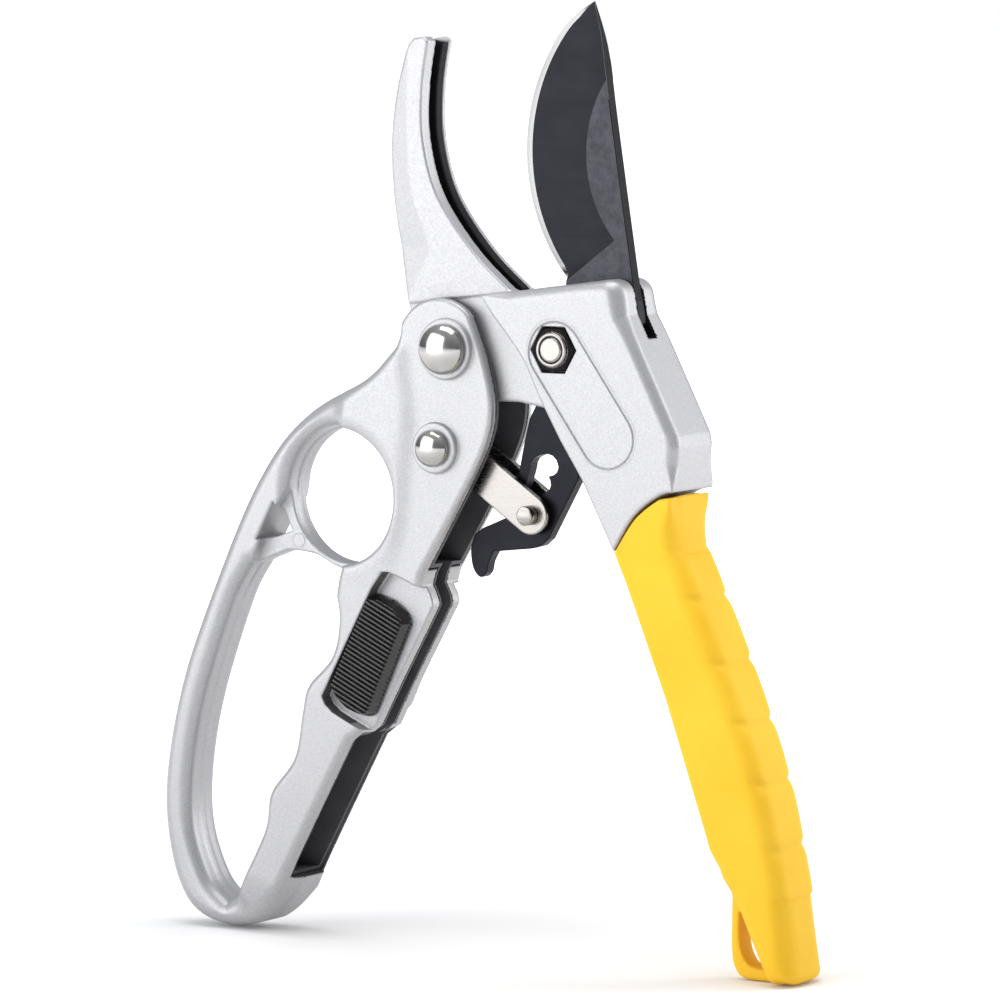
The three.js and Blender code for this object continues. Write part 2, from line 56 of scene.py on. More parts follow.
# ---- sizes shared by several pieces, in millimetres ----
HALF_BODY = 9.5                         # half thickness of both handles
HALF_TONGUE = 5.5                       # half thickness of the hook jaw
HALF_CHANNEL = 7.3                      # half width of the channels inside the castings
HALF_BLADE = 1.6                        # half thickness of the blade
HALF_SLOT = 2.0                         # half width of the slot that the blade swings in
HALF_BAR = 6.5                          # half depth of the finger guard bar
HALF_WEB = 2.9                          # half depth of the finger ring's thin rim
PLAY = 0.3                              # gap round a pin in its bore and round the tang
BOLT = (0.0, 0.0)
BOLT_R = 3.0
PIVOT = (-29.4, -0.7)                   # pivot rivet of the guard handle
RIVET_R = 3.0
LINK_PIVOT = (-32.3, -24.2)             # rivet that the links turn on
LINK_RIVET_R = 2.4
LINK_PIN = (-9.6, -39.5)                # pin in the ratchet window
LATCH_CENTRE = (-52.6, -75.4)
LATCH_LEAN = math.radians(25.5)         # the latch slides along a line this far off upright
RING_CENTRE = (-61.0, -37.0)            # finger ring
RING_R = 16.6
BOSS_RISE = 1.4                         # the rivets' bosses stand this far out of the handle
COARSE = 1.0


# ---- curves and distances in the X-Z plane ----
def arc(centre, radius, start, end, count):
    """Points along an arc, angles in degrees."""
    turns = [math.radians(start + (end - start) * i / count) for i in range(count + 1)]
    return [(centre[0] + radius * math.cos(a), centre[1] + radius * math.sin(a)) for a in turns]


def spline(points, count):
    """Points along a smooth curve through the given ones."""
    p = np.array(points, float)
    t = np.linspace(0, len(p) - 1, count + 1)
    i = np.minimum(t.astype(int), len(p) - 2)
    w = (t - i)[:, None]
    a, b, c, d = p[np.maximum(i - 1, 0)], p[i], p[i + 1], p[np.minimum(i + 2, len(p) - 1)]
    a = np.where((i == 0)[:, None], b, a)
    q = b + w * (c - a) * 0.5 + w * w * (a - 2.5 * b + 2 * c - 0.5 * d)
    q = q + w ** 3 * (-0.5 * a + 1.5 * b - 1.5 * c + 0.5 * d)
    return [tuple(v) for v in q]


def latch_point(across, along):
    """A point in the latch slide's own frame, as X and Z."""
    s, c = math.sin(LATCH_LEAN), math.cos(LATCH_LEAN)
    return (LATCH_CENTRE[0] + across * c + along * s, LATCH_CENTRE[1] - across * s + along * c)


def latch_outline(*points):
    """An outline given in the latch slide's own frame."""
    return [latch_point(*p) for p in points]


def latch_frame(x, z):
    """X and Z as distances across and along the latch slide."""
    s, c = math.sin(LATCH_LEAN), math.cos(LATCH_LEAN)
    dx, dz = x - LATCH_CENTRE[0], z - LATCH_CENTRE[1]
    return dx * c - dz * s, dx * s + dz * c


def line_distance(points, x, z):
    """Distance to an open line of points."""
    x, z = np.broadcast_arrays(x, z)
    best = np.full(x.shape, 1e9, np.float32)
    for (ax, az), (bx, bz) in zip(points[:-1], points[1:]):
        ex, ez = bx - ax, bz - az
        share = np.clip(((x - ax) * ex + (z - az) * ez) / max(ex * ex + ez * ez, 1e-9), 0, 1)
        best = np.minimum(best, (x - ax - share * ex) ** 2 + (z - az - share * ez) ** 2)
    return np.sqrt(best)


def area(points, x, z):
    """Signed distance to a closed outline, negative inside."""
    x, z = np.broadcast_arrays(x, z)
    best = np.full(x.shape, 1e9, np.float32)
    inside = np.zeros(x.shape, bool)
    for (ax, az), (bx, bz) in zip(points, points[1:] + points[:1]):
        ex, ez = bx - ax, bz - az
        length = ex * ex + ez * ez
        if length < 1e-8:
            continue
        share = np.clip(((x - ax) * ex + (z - az) * ez) / length, 0, 1)
        best = np.minimum(best, (x - ax - share * ex) ** 2 + (z - az - share * ez) ** 2)
        if az != bz:
            inside ^= ((az > z) != (bz > z)) & (x < ex * (z - az) / (bz - az) + ax)
    return np.where(inside, -1, 1) * np.sqrt(best)


# ---- field operations ----
def plate(flat, depth, half, edge):
    """A plate over an outline: depth is |y| or the depth from its middle, edges rounded by edge."""
    a, b = flat + edge, depth - half + edge
    return np.minimum(np.maximum(a, b), 0) + np.hypot(np.maximum(a, 0), np.maximum(b, 0)) - edge


def merge(a, b, width):
    """Union with a fillet."""
    share = np.clip(0.5 + 0.5 * (b - a) / width, 0, 1)
    return b * (1 - share) + a * share - width * share * (1 - share)


def carve(a, b, width=0.0):
    """a with b cut away, its edge softened by width."""
    return -merge(-a, b, width) if width else np.maximum(a, -b)


def ramp(value, start, end):
    """0 before start, 1 after end, smooth between."""
    share = np.clip((value - start) / (end - start), 0, 1)
    return share * share * (3 - 2 * share)


def disc(centre, x, z):
    """Distance from a centre in the X-Z plane."""
    return np.hypot(x - centre[0], z - centre[1])


def bored(body, centre, radius, x, z):
    """The body with a bore along Y for a pin of the given radius."""
    return carve(body, disc(centre, x, z) - radius - PLAY)


def inside_of(outline, half, x, ay, z):
    """The room inside an outline up to a half width."""
    return np.maximum(area(outline, x, z), ay - half)


# ---- skin of a field ----
CORNERS = [(i, j, k) for i in (0, 1) for j in (0, 1) for k in (0, 1)]


def net(values):
    """Vertices, in grid steps, and quads of the surface where values change sign."""
    inside = values < 0
    size = [n - 1 for n in values.shape]
    count = sum(inside[i:i + size[0], j:j + size[1], k:k + size[2]].astype(np.int8) for i, j, k in CORNERS)
    active = (count > 0) & (count < 8)
    cells = np.argwhere(active)
    number = np.full(active.shape, -1, np.int64)
    number[active] = np.arange(len(cells))
    total, hits = np.zeros((len(cells), 3)), np.zeros(len(cells))
    for corner in CORNERS:
        for axis in (k for k in range(3) if corner[k] == 0):
            other = [c + (k == axis) for k, c in enumerate(corner)]
            low, high = values[tuple((cells + corner).T)], values[tuple((cells + other).T)]
            cross = (low < 0) != (high < 0)
            point = np.repeat(np.array([corner], float), len(cells), 0)
            point[:, axis] += low / np.where(cross, low - high, 1)
            total[cross] += point[cross]
            hits += cross
    quads = []
    for axis in range(3):
        side, up = (axis + 1) % 3, (axis + 2) % 3
        cut = [slice(None)] * 3
        cut[axis] = slice(0, -1)
        low = inside[tuple(cut)]
        cut[axis] = slice(1, None)
        edges = np.argwhere(low != inside[tuple(cut)])
        edges = edges[(edges[:, side] > 0) & (edges[:, up] > 0)]
        edges = edges[(edges[:, side] < size[side]) & (edges[:, up] < size[up])]
        ring = []
        for ds, du in ((-1, -1), (0, -1), (0, 0), (-1, 0)):
            at = edges.copy()
            at[:, side] += ds
            at[:, up] += du
            ring.append(number[tuple(at.T)])
        faces = np.stack(ring, 1)
        outward = inside[tuple(edges.T)]
        quads.append(np.where(outward[:, None], faces, faces[:, ::-1]))
    return cells + total / hits[:, None], np.concatenate(quads)


def sample(grid, at):
    """Trilinear value of a grid at points given in grid steps."""
    base = np.clip(at.astype(int), 0, np.array(grid.shape) - 2)
    w = at - base
    value = np.zeros(len(at))
    for i, j, k in CORNERS:
        share = np.abs(1 - i - w[:, 0]) * np.abs(1 - j - w[:, 1]) * np.abs(1 - k - w[:, 2])
        value += share * grid[base[:, 0] + i, base[:, 1] + j, base[:, 2] + k]
    return value


def field_skin(field, low, high, step, passes=2):
    """Vertices in millimetres and quads of the zero surface of field(x, y, z)."""
    step = step * COARSE
    low = np.array(low, float) - 2.5 * step
    shape = np.ceil((np.array(high, float) + 2.5 * step - low) / step).astype(int)
    x, y, z = (low[i] + step * np.arange(shape[i]) for i in range(3))
    values = field(x[:, None, None], y[None, :, None], z[None, None, :]).astype(np.float32)
    at, quads = net(values)
    slopes = [np.gradient(values, step, axis=axis) for axis in range(3)]
    for _ in range(passes):
        point = low + at * step
        off = field(point[:, 0], point[:, 1], point[:, 2])
        normal = np.stack([sample(g, at) for g in slopes], 1)
        steep = np.maximum((normal ** 2).sum(1), 0.25)
        move = -(off / steep)[:, None] * normal
        at = at + np.clip(move, -0.45 * step, 0.45 * step) / step
    return low + at * step, quads


# ---- meshes ----
def to_frame(points):
    """Millimetres in the drawing to metres in the frame."""
    return np.asarray(points, float) * MM + np.array(ORIGIN)


def add_object(name, data):
    """A new object in the scene that shows a mesh, a camera or a light."""
    piece = bpy.data.objects.new(name, data)
    bpy.context.scene.collection.objects.link(piece)
    return piece


def add_mesh(name, points, faces, materials, slots=None):
    """A new smooth object from millimetre points and faces; slots says which material each face has."""
    mesh = bpy.data.meshes.new(name)
    mesh.from_pydata(to_frame(points).tolist(), [], [list(map(int, f)) for f in faces])
    for material in materials:
        mesh.materials.append(material)
    if slots is not None:
        mesh.polygons.foreach_set("material_index", np.asarray(slots, np.int32))
    mesh.polygons.foreach_set("use_smooth", [True] * len(mesh.polygons))
    mesh.update()
    mesh.validate()
    return add_object(name, mesh)


def tint(points, quads, rule):
    """Material index 1 where rule(x, |y|, z, upright) holds at a face's centre, else 0."""
    corner = points[quads]
    middle = corner.mean(1)
    normal = np.cross(corner[:, 2] - corner[:, 0], corner[:, 3] - corner[:, 1])
    upright = np.abs(normal[:, 1]) / np.maximum(np.linalg.norm(normal, axis=1), 1e-9)
    return rule(middle[:, 0], np.abs(middle[:, 1]), middle[:, 2], upright).astype(int)


def moulded(name, field, low, high, step, looks, rule=None):
    """A piece with the skin of a field; its faces take the second look where the rule holds."""
    points, quads = field_skin(field, low, high, step)
    slots = tint(points, quads, rule) if rule else None
    return add_mesh(name, points, quads, looks, slots)


def stand_for(piece, body, slot, *nodes):
    """The piece rides on a body and stands for CAD nodes, which are hidden; slot is not used."""
    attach(piece, body)
    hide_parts(*nodes)
    return piece


def crease(piece, degrees):
    """Keeps edges sharper than an angle sharp."""
    piece.data.set_sharp_from_angle(angle=math.radians(degrees))
    return piece


def turned(name, centre, profile, material, count=72):
    """A closed turned piece round an axis along Y; profile is (radius, y) from axis to axis."""
    points, faces, rings = [], [], []
    for radius, y in profile:
        if radius < 1e-6:
            rings.append([len(points)])
            points.append((centre[0], y, centre[1]))
            continue
        rings.append(list(range(len(points), len(points) + count)))
        for i in range(count):
            a = 2 * math.pi * i / count
            points.append((centre[0] + radius * math.cos(a), y, centre[1] + radius * math.sin(a)))
    for low, high in zip(rings[:-1], rings[1:]):
        for i in range(count):
            j = (i + 1) % count
            a, b = low[i % len(low)], low[j % len(low)]
            c, d = high[j % len(high)], high[i % len(high)]
            faces.append([v for k, v in enumerate((a, b, c, d)) if v not in (a, b, c, d)[:k]])
    return crease(add_mesh(name, points, faces, [material]), 32)


# ---- materials ----
def feed(tree, socket, value):
    """Sets a socket to a plain value, or links it to another node's output."""
    if isinstance(value, bpy.types.NodeSocket):
        tree.links.new(value, socket)
    else:
        socket.default_value = value


def new_node(tree, kind, **inputs):
    """A shader node with its named inputs fed; an underscore stands for a space."""
    node = tree.nodes.new("ShaderNode" + kind)
    for name, value in inputs.items():
        feed(tree, node.inputs[name.replace("_", " ")], value)
    return node


def tone_ramp(tree, value, *stops):
    """Colours that follow a value; the stops are (place, colour)."""
    node = new_node(tree, "ValToRGB", Fac=value)
    for end in (0, -1):
        node.color_ramp.elements[end].position = stops[end][0]
        node.color_ramp.elements[end].color = stops[end][1]
    for place, colour in stops[1:-1]:
        node.color_ramp.elements.new(place).color = colour
    return node.outputs["Color"]


class Nodes:
    """A small helper that builds one node material."""

    def __init__(self, name):
        self.material = bpy.data.materials.new(name)
        self.material.use_nodes = True
        self.tree = self.material.node_tree
        self.shader = self.tree.nodes["Principled BSDF"]
        self.place = new_node(self.tree, "TexCoord").outputs["Object"]

    def set(self, **values):
        for name, value in values.items():
            self.shader.inputs[name.replace("_", " ")].default_value = value
        return self

    def noise(self, scale, detail=2.0, roughness=0.5, stretch=None):
        place = self.place
        if stretch:
            mapping = new_node(self.tree, "Mapping", Rotation=stretch[0], Scale=stretch[1], Vector=place)
            place = mapping.outputs["Vector"]
        grain = {"Detail": detail, "Roughness": roughness}
        return new_node(self.tree, "TexNoise", Scale=scale, Vector=place, **grain).outputs["Fac"]

    def cells(self, scale):
        return new_node(self.tree, "TexVoronoi", Scale=scale, Vector=self.place).outputs["Color"]

    def ramp(self, value, *stops):
        return tone_ramp(self.tree, value, *stops)

    def math(self, kind, a, b):
        node = new_node(self.tree, "Math")
        node.operation = kind
        for socket, value in zip(node.inputs, (a, b)):
            feed(self.tree, socket, value)
        return node.outputs["Value"]

    def mix(self, share, a, b, kind="MIX"):
        node = new_node(self.tree, "Mix")
        node.data_type = "RGBA"
        node.blend_type = kind
        for name, value in (("Factor", share), ("A", a), ("B", b)):
            feed(self.tree, [s for s in node.inputs if s.name == name and s.enabled][0], value)
        return [s for s in node.outputs if s.enabled][0]

    def link(self, value, socket):
        self.tree.links.new(value, self.shader.inputs[socket])
        return self

    def bump(self, height, strength, distance):
        node = new_node(self.tree, "Bump", Strength=strength, Distance=distance, Height=height)
        return self.link(node.outputs["Normal"], "Normal")


def grey(value, blue=0.0):
    """A grey, with a little more blue where a cold one is meant."""
    return (value, value, value + blue, 1.0)


def surface(name, settings, grains, base, rough, bump):
    """A material whose colour follows the first noise, and its roughness and bump the last one."""
    m = Nodes(name).set(**settings)
    noises = [m.noise(*grain) for grain in grains]
    m.link(m.ramp(noises[0], (0.3, base[0]), (0.7, base[1])), "Base Color")
    m.link(m.ramp(noises[-1], (0.3, grey(rough[0])), (0.7, grey(rough[1]))), "Roughness")
    return m.bump(noises[-1], *bump).material


def silver_paint():
    """Fine-grained silver paint on an aluminium casting."""
    m = Nodes("silver_paint").set(Metallic=0.56, IOR=1.5)
    grain, flake, cloud = m.noise(2300, 3, 0.6), m.cells(3600), m.noise(90, 2)
    base = m.ramp(grain, (0.36, grey(0.385, 0.012)), (0.64, grey(0.450, 0.013)))
    base = m.mix(0.06, base, flake, "SOFT_LIGHT")
    m.link(m.mix(m.math("MULTIPLY", cloud, 0.08), base, grey(0.37, 0.012)), "Base Color")
    m.link(m.ramp(grain, (0.3, grey(0.47)), (0.7, grey(0.39))), "Roughness")
    return m.bump(grain, 0.10, 0.00010).material


def yellow_vinyl():
    """Satin yellow vinyl grip."""
    m = Nodes("yellow_vinyl").set(IOR=1.45, Specular_IOR_Level=0.25)
    cloud, fine = m.noise(60, 3), m.noise(1900, 2)
    base = m.ramp(cloud, (0.3, (0.84, 0.500, 0.022, 1)), (0.7, (0.88, 0.545, 0.032, 1)))
    m.link(base, "Base Color")
    m.link(m.ramp(fine, (0.3, grey(0.54)), (0.7, grey(0.64))), "Roughness")
    m.set(Subsurface_Weight=0.12, Subsurface_Scale=0.004)
    m.shader.inputs["Subsurface Radius"].default_value = (1.0, 0.55, 0.12)
    return m.bump(fine, 0.12, 0.00008).material


def coated_flat():
    """Textured black coating on the blade's flat."""
    m = Nodes("coated_flat").set(Metallic=0.55)
    pits, fine = m.noise(420, 4, 0.65), m.noise(2400, 2)
    m.link(m.ramp(pits, (0.35, grey(0.026, 0.008)), (0.65, grey(0.046, 0.013))), "Base Color")
    m.link(m.ramp(fine, (0.3, grey(0.40)), (0.7, grey(0.55))), "Roughness")
    return m.bump(pits, 0.5, 0.00018).material


def coated_ground():
    """Smoother black coating on the ground bevel, with grinding marks across it."""
    m = Nodes("coated_ground").set(Metallic=0.6, Specular_IOR_Level=0.2)
    marks = m.noise(900, 3, 0.6, stretch=((0.0, math.radians(-38), 0.0), (0.12, 1.0, 1.6)))
    cloud = m.noise(130, 3)
    base = m.ramp(cloud, (0.3, grey(0.007, 0.0035)), (0.7, grey(0.012, 0.005)))
    m.link(m.mix(m.math("MULTIPLY", marks, 0.3), base, grey(0.018, 0.007)), "Base Color")
    m.link(m.ramp(marks, (0.3, grey(0.30)), (0.7, grey(0.42))), "Roughness")
    return m.bump(marks, 0.18, 0.00006).material


def polished_nickel():
    """Bright domed rivet heads, faintly spun."""
    m = Nodes("polished_nickel").set(Metallic=1.0)
    wear = m.noise(260, 3)
    m.link(m.ramp(wear, (0.3, (0.40, 0.388, 0.372, 1)), (0.7, (0.49, 0.476, 0.457, 1))), "Base Color")
    m.link(m.ramp(wear, (0.35, grey(0.13)), (0.75, grey(0.19))), "Roughness")
    return m.bump(wear, 0.03, 0.00004).material


# Stretched noise as scale, detail, roughness and (turn, stretch).
MARKS = (1500, 2, 0.5, ((0.0, 0.0, 0.0), (0.15, 1.0, 2.2)))
BRUSHING = (700, 3, 0.6, ((0.0, math.radians(34), 0.0), (0.14, 1.0, 1.8)))
SILVER, YELLOW, NICKEL = silver_paint(), yellow_vinyl(), polished_nickel()
FLAT, GROUND = coated_flat(), coated_ground()
# Honed steel of the cutting edge, also used for a painted highlight on the spine's corners near the tip.
HONED_AND_GLINT = surface("honed_steel_and_glint", {"Metallic": 1.0}, [MARKS], (grey(0.25), grey(0.29)), (0.24, 0.36),
                (0.04, 0.00003))
PLATED = surface("plated_steel", {"Metallic": 1.0}, [BRUSHING],
                 ((0.27, 0.256, 0.242, 1), (0.34, 0.324, 0.306, 1)), (0.20, 0.32), (0.08, 0.00005))
# Black steel for the hook strip, blade spine and latch bar, also painted on the slot and link room walls
# and on the nut's hexagon as shade.
BLACK_AND_SHADE = surface("black_steel_and_shade", {"Specular_IOR_Level": 0.1}, [(150, 3), (2000, 2)],
                (grey(0.007, 0.001), grey(0.012, 0.002)), (0.42, 0.56), (0.15, 0.00006))
PLASTIC = surface("black_plastic", {"IOR": 1.55, "Specular_IOR_Level": 0.6}, [(300, 3), (2800, 2)],
                  (grey(0.004), grey(0.007)), (0.12, 0.18), (0.10, 0.00004))
WIRE = surface("spring_wire", {"Metallic": 1.0}, [(500, 3)], (grey(0.28), grey(0.42)), (0.26, 0.40),
               (0.08, 0.00005))
# Black lining of the channels, also painted on the latch pockets' shaded walls and window walls as shade.
LINING_AND_SHADE = surface("channel_lining_and_shade", {"Metallic": 0.1, "Specular_IOR_Level": 0.3}, [(120, 3), (2000, 2)],
                 (grey(0.075, 0.006), grey(0.105, 0.008)), (0.5, 0.62), (0.12, 0.00006))

# ---- main casting: head, hook jaw, tongue and tang ----
HOOK_INNER = [(-37.2, 71.6), (-38.9, 60), (-38.6, 48), (-34.6, 35.2), (-25, 22.6), (-14.8, 13.6)]
HOOK_OUTER = [(-41.8, 5.4), (-44.2, 15.4), (-47.2, 30.5), (-48.2, 46), (-46.9, 57.8), (-44.2, 67.4),
              (-42.6, 70.8)]
HOOK = (
    [(-14.8, 13.6), (-4, 10), (0.5, -15.0), (-12, -12.9), (-16.5, -12.9)]
    + arc(PIVOT, 12.6, 268, 176, 24)
    + spline(HOOK_OUTER, 40)
    + [(-41.3, 72.2), (-38.4, 72.6)]
    + spline(HOOK_INNER, 40)[:-1]
)
FACET = spline([(-42.3, 74), (-42.7, 66), (-43.1, 52.3), (-42.0, 37.9), (-39.6, 29.8), (-36.9, 23.6),
                (-36.9, 21.2), (-39.2, 17.2), (-42.6, 10.6)], 40) + [(-60, 5), (-60, 80)]
HEAD_LEFT = spline([(-16.6, 7.4), (-8.6, -2.2), (-3.9, -11.2), (1.8, -21.1)], 20)
HEAD_SCOOP = spline([(16.3, -46.4), (21.7, -38), (28.3, -33), (32.2, -31.9)], 12)
HEAD = (
    HEAD_LEFT + [(7.7, -30)] + HEAD_SCOOP + [(33.0, -21.6), (32.6, -19.0), (18.6, 8.4)]
    + arc((13.6, 12.4), 4.2, 8, 92, 10) + [(-20.2, 12.2)]
)
SLOT = (
    arc((0, 0), 14, 150, 212, 10)
    + [(-13.0, -13.0), (-14.6, -20), (-16, -60), (12, -56), (20.8, -46), (21.2, -36), (19.9, -23),
       (16.4, -13.2)]
    + arc((0, 0), 14, -22, 12, 8)
    + [(26, 3), (30, 8), (24, 30), (-16, 30), (-17.2, 12.6)]
)
LINK_ROOM = [(-6, -17.2), (2, -17.4), (12.8, -20.2), (16.6, -24), (17.2, -33), (14, -44), (-10, -52),
             (-14, -24)]
SPRING_ROOM = arc(PIVOT, 8.2, -20, 200, 24) + [(-42, -6), (-42, -16), (-18, -16), (-21.7, -6)]
STADIUM_ENDS = ((0.5, -0.6), (14.6, -20.2))
STADIUM_R = 7.1
SEAT_BED = 8.85                         # the seat of the face panel, as a distance from the middle
POCKET_FLATS = 11.2                     # hexagon pocket of the main nut, across its flats
POCKET_FLOOR = 5.2                      # and its floor, as a distance from the middle
TANG_LINE = ((25.2, -42), (53.7, -117))
TANG_HALF_WIDTH, TANG_HALF_DEPTH = 3.4, 5.2
GROOVE_HALF, GROOVE_DEPTH = 3.0, 4.9    # groove along the hook's inner edge
GROOVE_SHIFT = 1.15                     # the groove lies this far behind the middle of the jaw
TAPER_START = 12.2                      # the tongue is a little thinner below this height


def stadium_area(x, z):
    """Signed distance to the round-ended outline on the head's face."""
    return line_distance(STADIUM_ENDS, x, z) - STADIUM_R


def tang_field(x, ay, z, extra):
    """The tang inside the grip, grown by extra."""
    (ax, az), (bx, bz) = TANG_LINE
    length = math.hypot(bx - ax, bz - az)
    ux, uz = (bx - ax) / length, (bz - az) / length
    along = (x - ax) * ux + (z - az) * uz
    across = np.abs((x - ax) * -uz + (z - az) * ux)
    flat = np.maximum(across - TANG_HALF_WIDTH - extra, np.maximum(-along - 10, along - length - extra))
    return plate(flat, ay, TANG_HALF_DEPTH + extra, 0.8)


def hexagon(x, z, flats):
    """Signed distance to a hexagon with two corners along X."""
    turns = (math.pi / 6, math.pi / 2, 5 * math.pi / 6)
    sides = [np.abs(x * math.cos(a) + z * math.sin(a)) for a in turns]
    return np.maximum(np.maximum(sides[0], sides[1]), sides[2]) - flats / 2


def jaw_field(x, y, z):
    """The hook jaw and the tongue below it, with the facet along the back and the strip's groove."""
    facet = np.maximum(-area(FACET, x, z), 0)
    below = 1 - ramp(z - (TAPER_START + 0.12 * (x + 20.2)), -0.25, 0.25)
    jaw_half = HALF_TONGUE - 0.2 * facet - 0.22 * below
    inner = line_distance(spline(HOOK_INNER, 40), x, z)
    jaw = plate(area(HOOK, x, z), np.abs(y), jaw_half, 0.55)
    return carve(jaw, np.maximum(inner - GROOVE_DEPTH, np.abs(y - GROOVE_SHIFT) - GROOVE_HALF))


def head_field(x, y, z):
    """The head, with broad edges at the right and crisp ones at the left and over the grip."""
    crisp = [(-22, 13.4)] + HEAD_LEFT + [(7.7, -30)] + HEAD_SCOOP
    soft = 0.45 + 2.3 * ramp(line_distance(crisp, x, z), 0.5, 7)
    soft = soft + 1.4 * np.exp(-((disc((18, 13), x, z) / 7) ** 2))
    outline = area(HEAD, x, z)
    seat = np.maximum(np.maximum(stadium_area(x, z) - 0.5, outline + 0.9), y + SEAT_BED)
    return carve(plate(outline, np.abs(y), HALF_BODY, soft), seat)


def main_casting_field(x, y, z):
    ay = np.abs(y)
    body = merge(jaw_field(x, y, z), head_field(x, y, z), 0.3)
    body = np.minimum(body, tang_field(x, ay, z, 0))
    for outline, half in ((SLOT, HALF_SLOT), (LINK_ROOM, HALF_CHANNEL), (SPRING_ROOM, 3.0)):
        body = carve(body, inside_of(outline, half, x, ay, z))
    body = carve(body, np.maximum(hexagon(x, z, POCKET_FLATS), y + POCKET_FLOOR))
    return bored(bored(body, BOLT, BOLT_R, x, z), PIVOT, RIVET_R, x, z)


def painted_shade_inside(x, ay, z, upright):
    """Walls of the blade slot and the link room, painted black as the shade deep inside them."""
    in_slot = (area(SLOT, x, z) < 0.2) & (ay < HALF_SLOT + 0.2)
    return in_slot | (area(LINK_ROOM, x, z) < 0.2) & (ay < HALF_CHANNEL + 0.1)


def main_casting():
    piece = moulded("main_casting_cast", main_casting_field, (-49, -10, -122), (57, 10, 73), 0.4,
                    [SILVER, BLACK_AND_SHADE], painted_shade_inside)
    return stand_for(piece, "main", "cast_silver", "main_casting")


def recess_field(x, y, z):
    """The head's face round the nut, with its fine stadium line and hexagon pocket."""
    stadium = stadium_area(x, z)
    top = HALF_BODY + 0.02 - 0.06 * (stadium < 0) - 0.32 * np.exp(-((stadium / 0.17) ** 2))
    flat = np.maximum(stadium - 0.8, area(HEAD, x, z) + 0.6)
    body = np.maximum(np.maximum(flat, -y - top), y + 8.6)
    return carve(body, hexagon(x, z, 10.9), 0.1)


def recess_panel():
    """The finely meshed part of the head's face; it adds to the casting and replaces no frame part."""
    piece = moulded("head_recess_face", recess_field, (-8, -9.7, -29), (23, -8.4, 8), 0.13, [SILVER])
    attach(piece, "main")


# ---- strip in the hook's groove ----
def sweep(name, path, section, material):
    """A closed section, anticlockwise (sideways, y) pairs, carried along a path of X-Z points."""
    points, faces = [], []
    p = np.array(path)
    run = np.gradient(p, axis=0)
    run /= np.linalg.norm(run, axis=1)[:, None]
    for (x, z), (ux, uz) in zip(p, run):
        points += [(x - uz * s, y, z + ux * s) for s, y in section]
    n = len(section)
    for i in range(len(p) - 1):
        for k in range(n):
            j = (k + 1) % n
            faces.append((i * n + k, i * n + j, (i + 1) * n + j, (i + 1) * n + k))
    faces.append(tuple(reversed(range(n))))
    faces.append(tuple(range((len(p) - 1) * n, len(p) * n)))
    piece = crease(add_mesh(name, points, faces, [material]), 30)
    piece.data.flip_normals()
    return piece


def hook_strip():
    """The black strip in the hook's groove, itself grooved where the cutting edge comes down."""
    path = spline(HOOK_INNER, 90)[1:]
    front, back, inner = GROOVE_SHIFT - 2.95, GROOVE_SHIFT + 2.95, 1.45
    face, shoulder, trough, floor = -0.15, -0.35, -3.9, -4.6
    section = [(face, front + 0.12), (face, -inner - 0.1), (-0.3, -inner), (trough, -inner),
               (trough, inner), (-0.4, inner), (face, inner + 0.3), (face, back - 0.2), (shoulder, back),
               (floor, back), (floor, front), (shoulder, front)]
    piece = sweep("hook_strip", path, section, BLACK_AND_SHADE)
    return stand_for(piece, "main", "liner_black", "hook_liner")


# ---- grip ----
GRIP_GROOVES = 7
GROOVE_PITCH = 13.3                     # from groove to groove
HALF_GRIP = 9.3
FOOT_Z = -144.95                        # lowest part of the grip
GRIP_TOP = [(28.3, -33.6), (21.9, -38.6), (16.4, -46.6)]
GRIP_BACK = [(33.4, -46.2), (45.1, -71.8), (55.4, -99), (61.4, -125.4)]
GRIP = (
    [(30.0, -80), (41.0, -111.5), (44.0, -121), (47.4, -125.6), (55.3, -142.6), (56.2, -144.2),
     (57.8, FOOT_Z), (62.2, FOOT_Z), (63.6, -144.1), (64.1, -142.6)]
    + spline(GRIP_BACK, 40)[::-1]
    + [(32.2, -38), (31.9, -32.4)]
    + spline(GRIP_TOP, 16)
)
STRAP = [(50, -118), (43.6, -121)] + spline(
    [(44.3, -126.1), (44.2, -131.6), (44.2, -137.5), (44.7, -141.3), (46.6, -144.2), (50.2, -144.85)],
    20) + [(60, -144.85), (60, -136)]
EYE = spline([(46.6, -129.0), (46.5, -134), (47.1, -138.2), (48.9, -141.2), (51.6, -142.1)], 20) + [
    (55.6, -141.9), (53.2, -137), (49.4, -130)]
GRIP_NOTCH = [(10, -40), (21.2, -36), (20.8, -46.2), (12, -56)]


def finger_dents(x, ay, z):
    """How far the grip's outline moves in: dents down the right side, deepest at its corners."""
    back = np.array(spline(GRIP_BACK, 60))[::-1]
    back_x = np.interp(z, back[:, 1], back[:, 0])
    turn = np.interp(z + 0.4 * (x - back_x), back[:, 1], np.linspace(GRIP_GROOVES - 1, 0, len(back)))
    near = np.exp(-(np.maximum(back_x - x, 0) / 3.6) ** 2)
    off = (turn - np.round(turn)) * GROOVE_PITCH
    dent = 0.85 * np.exp(-((off / 1.1) ** 2)) * (0.42 + 0.58 * ramp(ay, 3, 7))
    bulge = 0.08 * np.sin(math.pi * turn) ** 2
    return (dent - bulge) * near


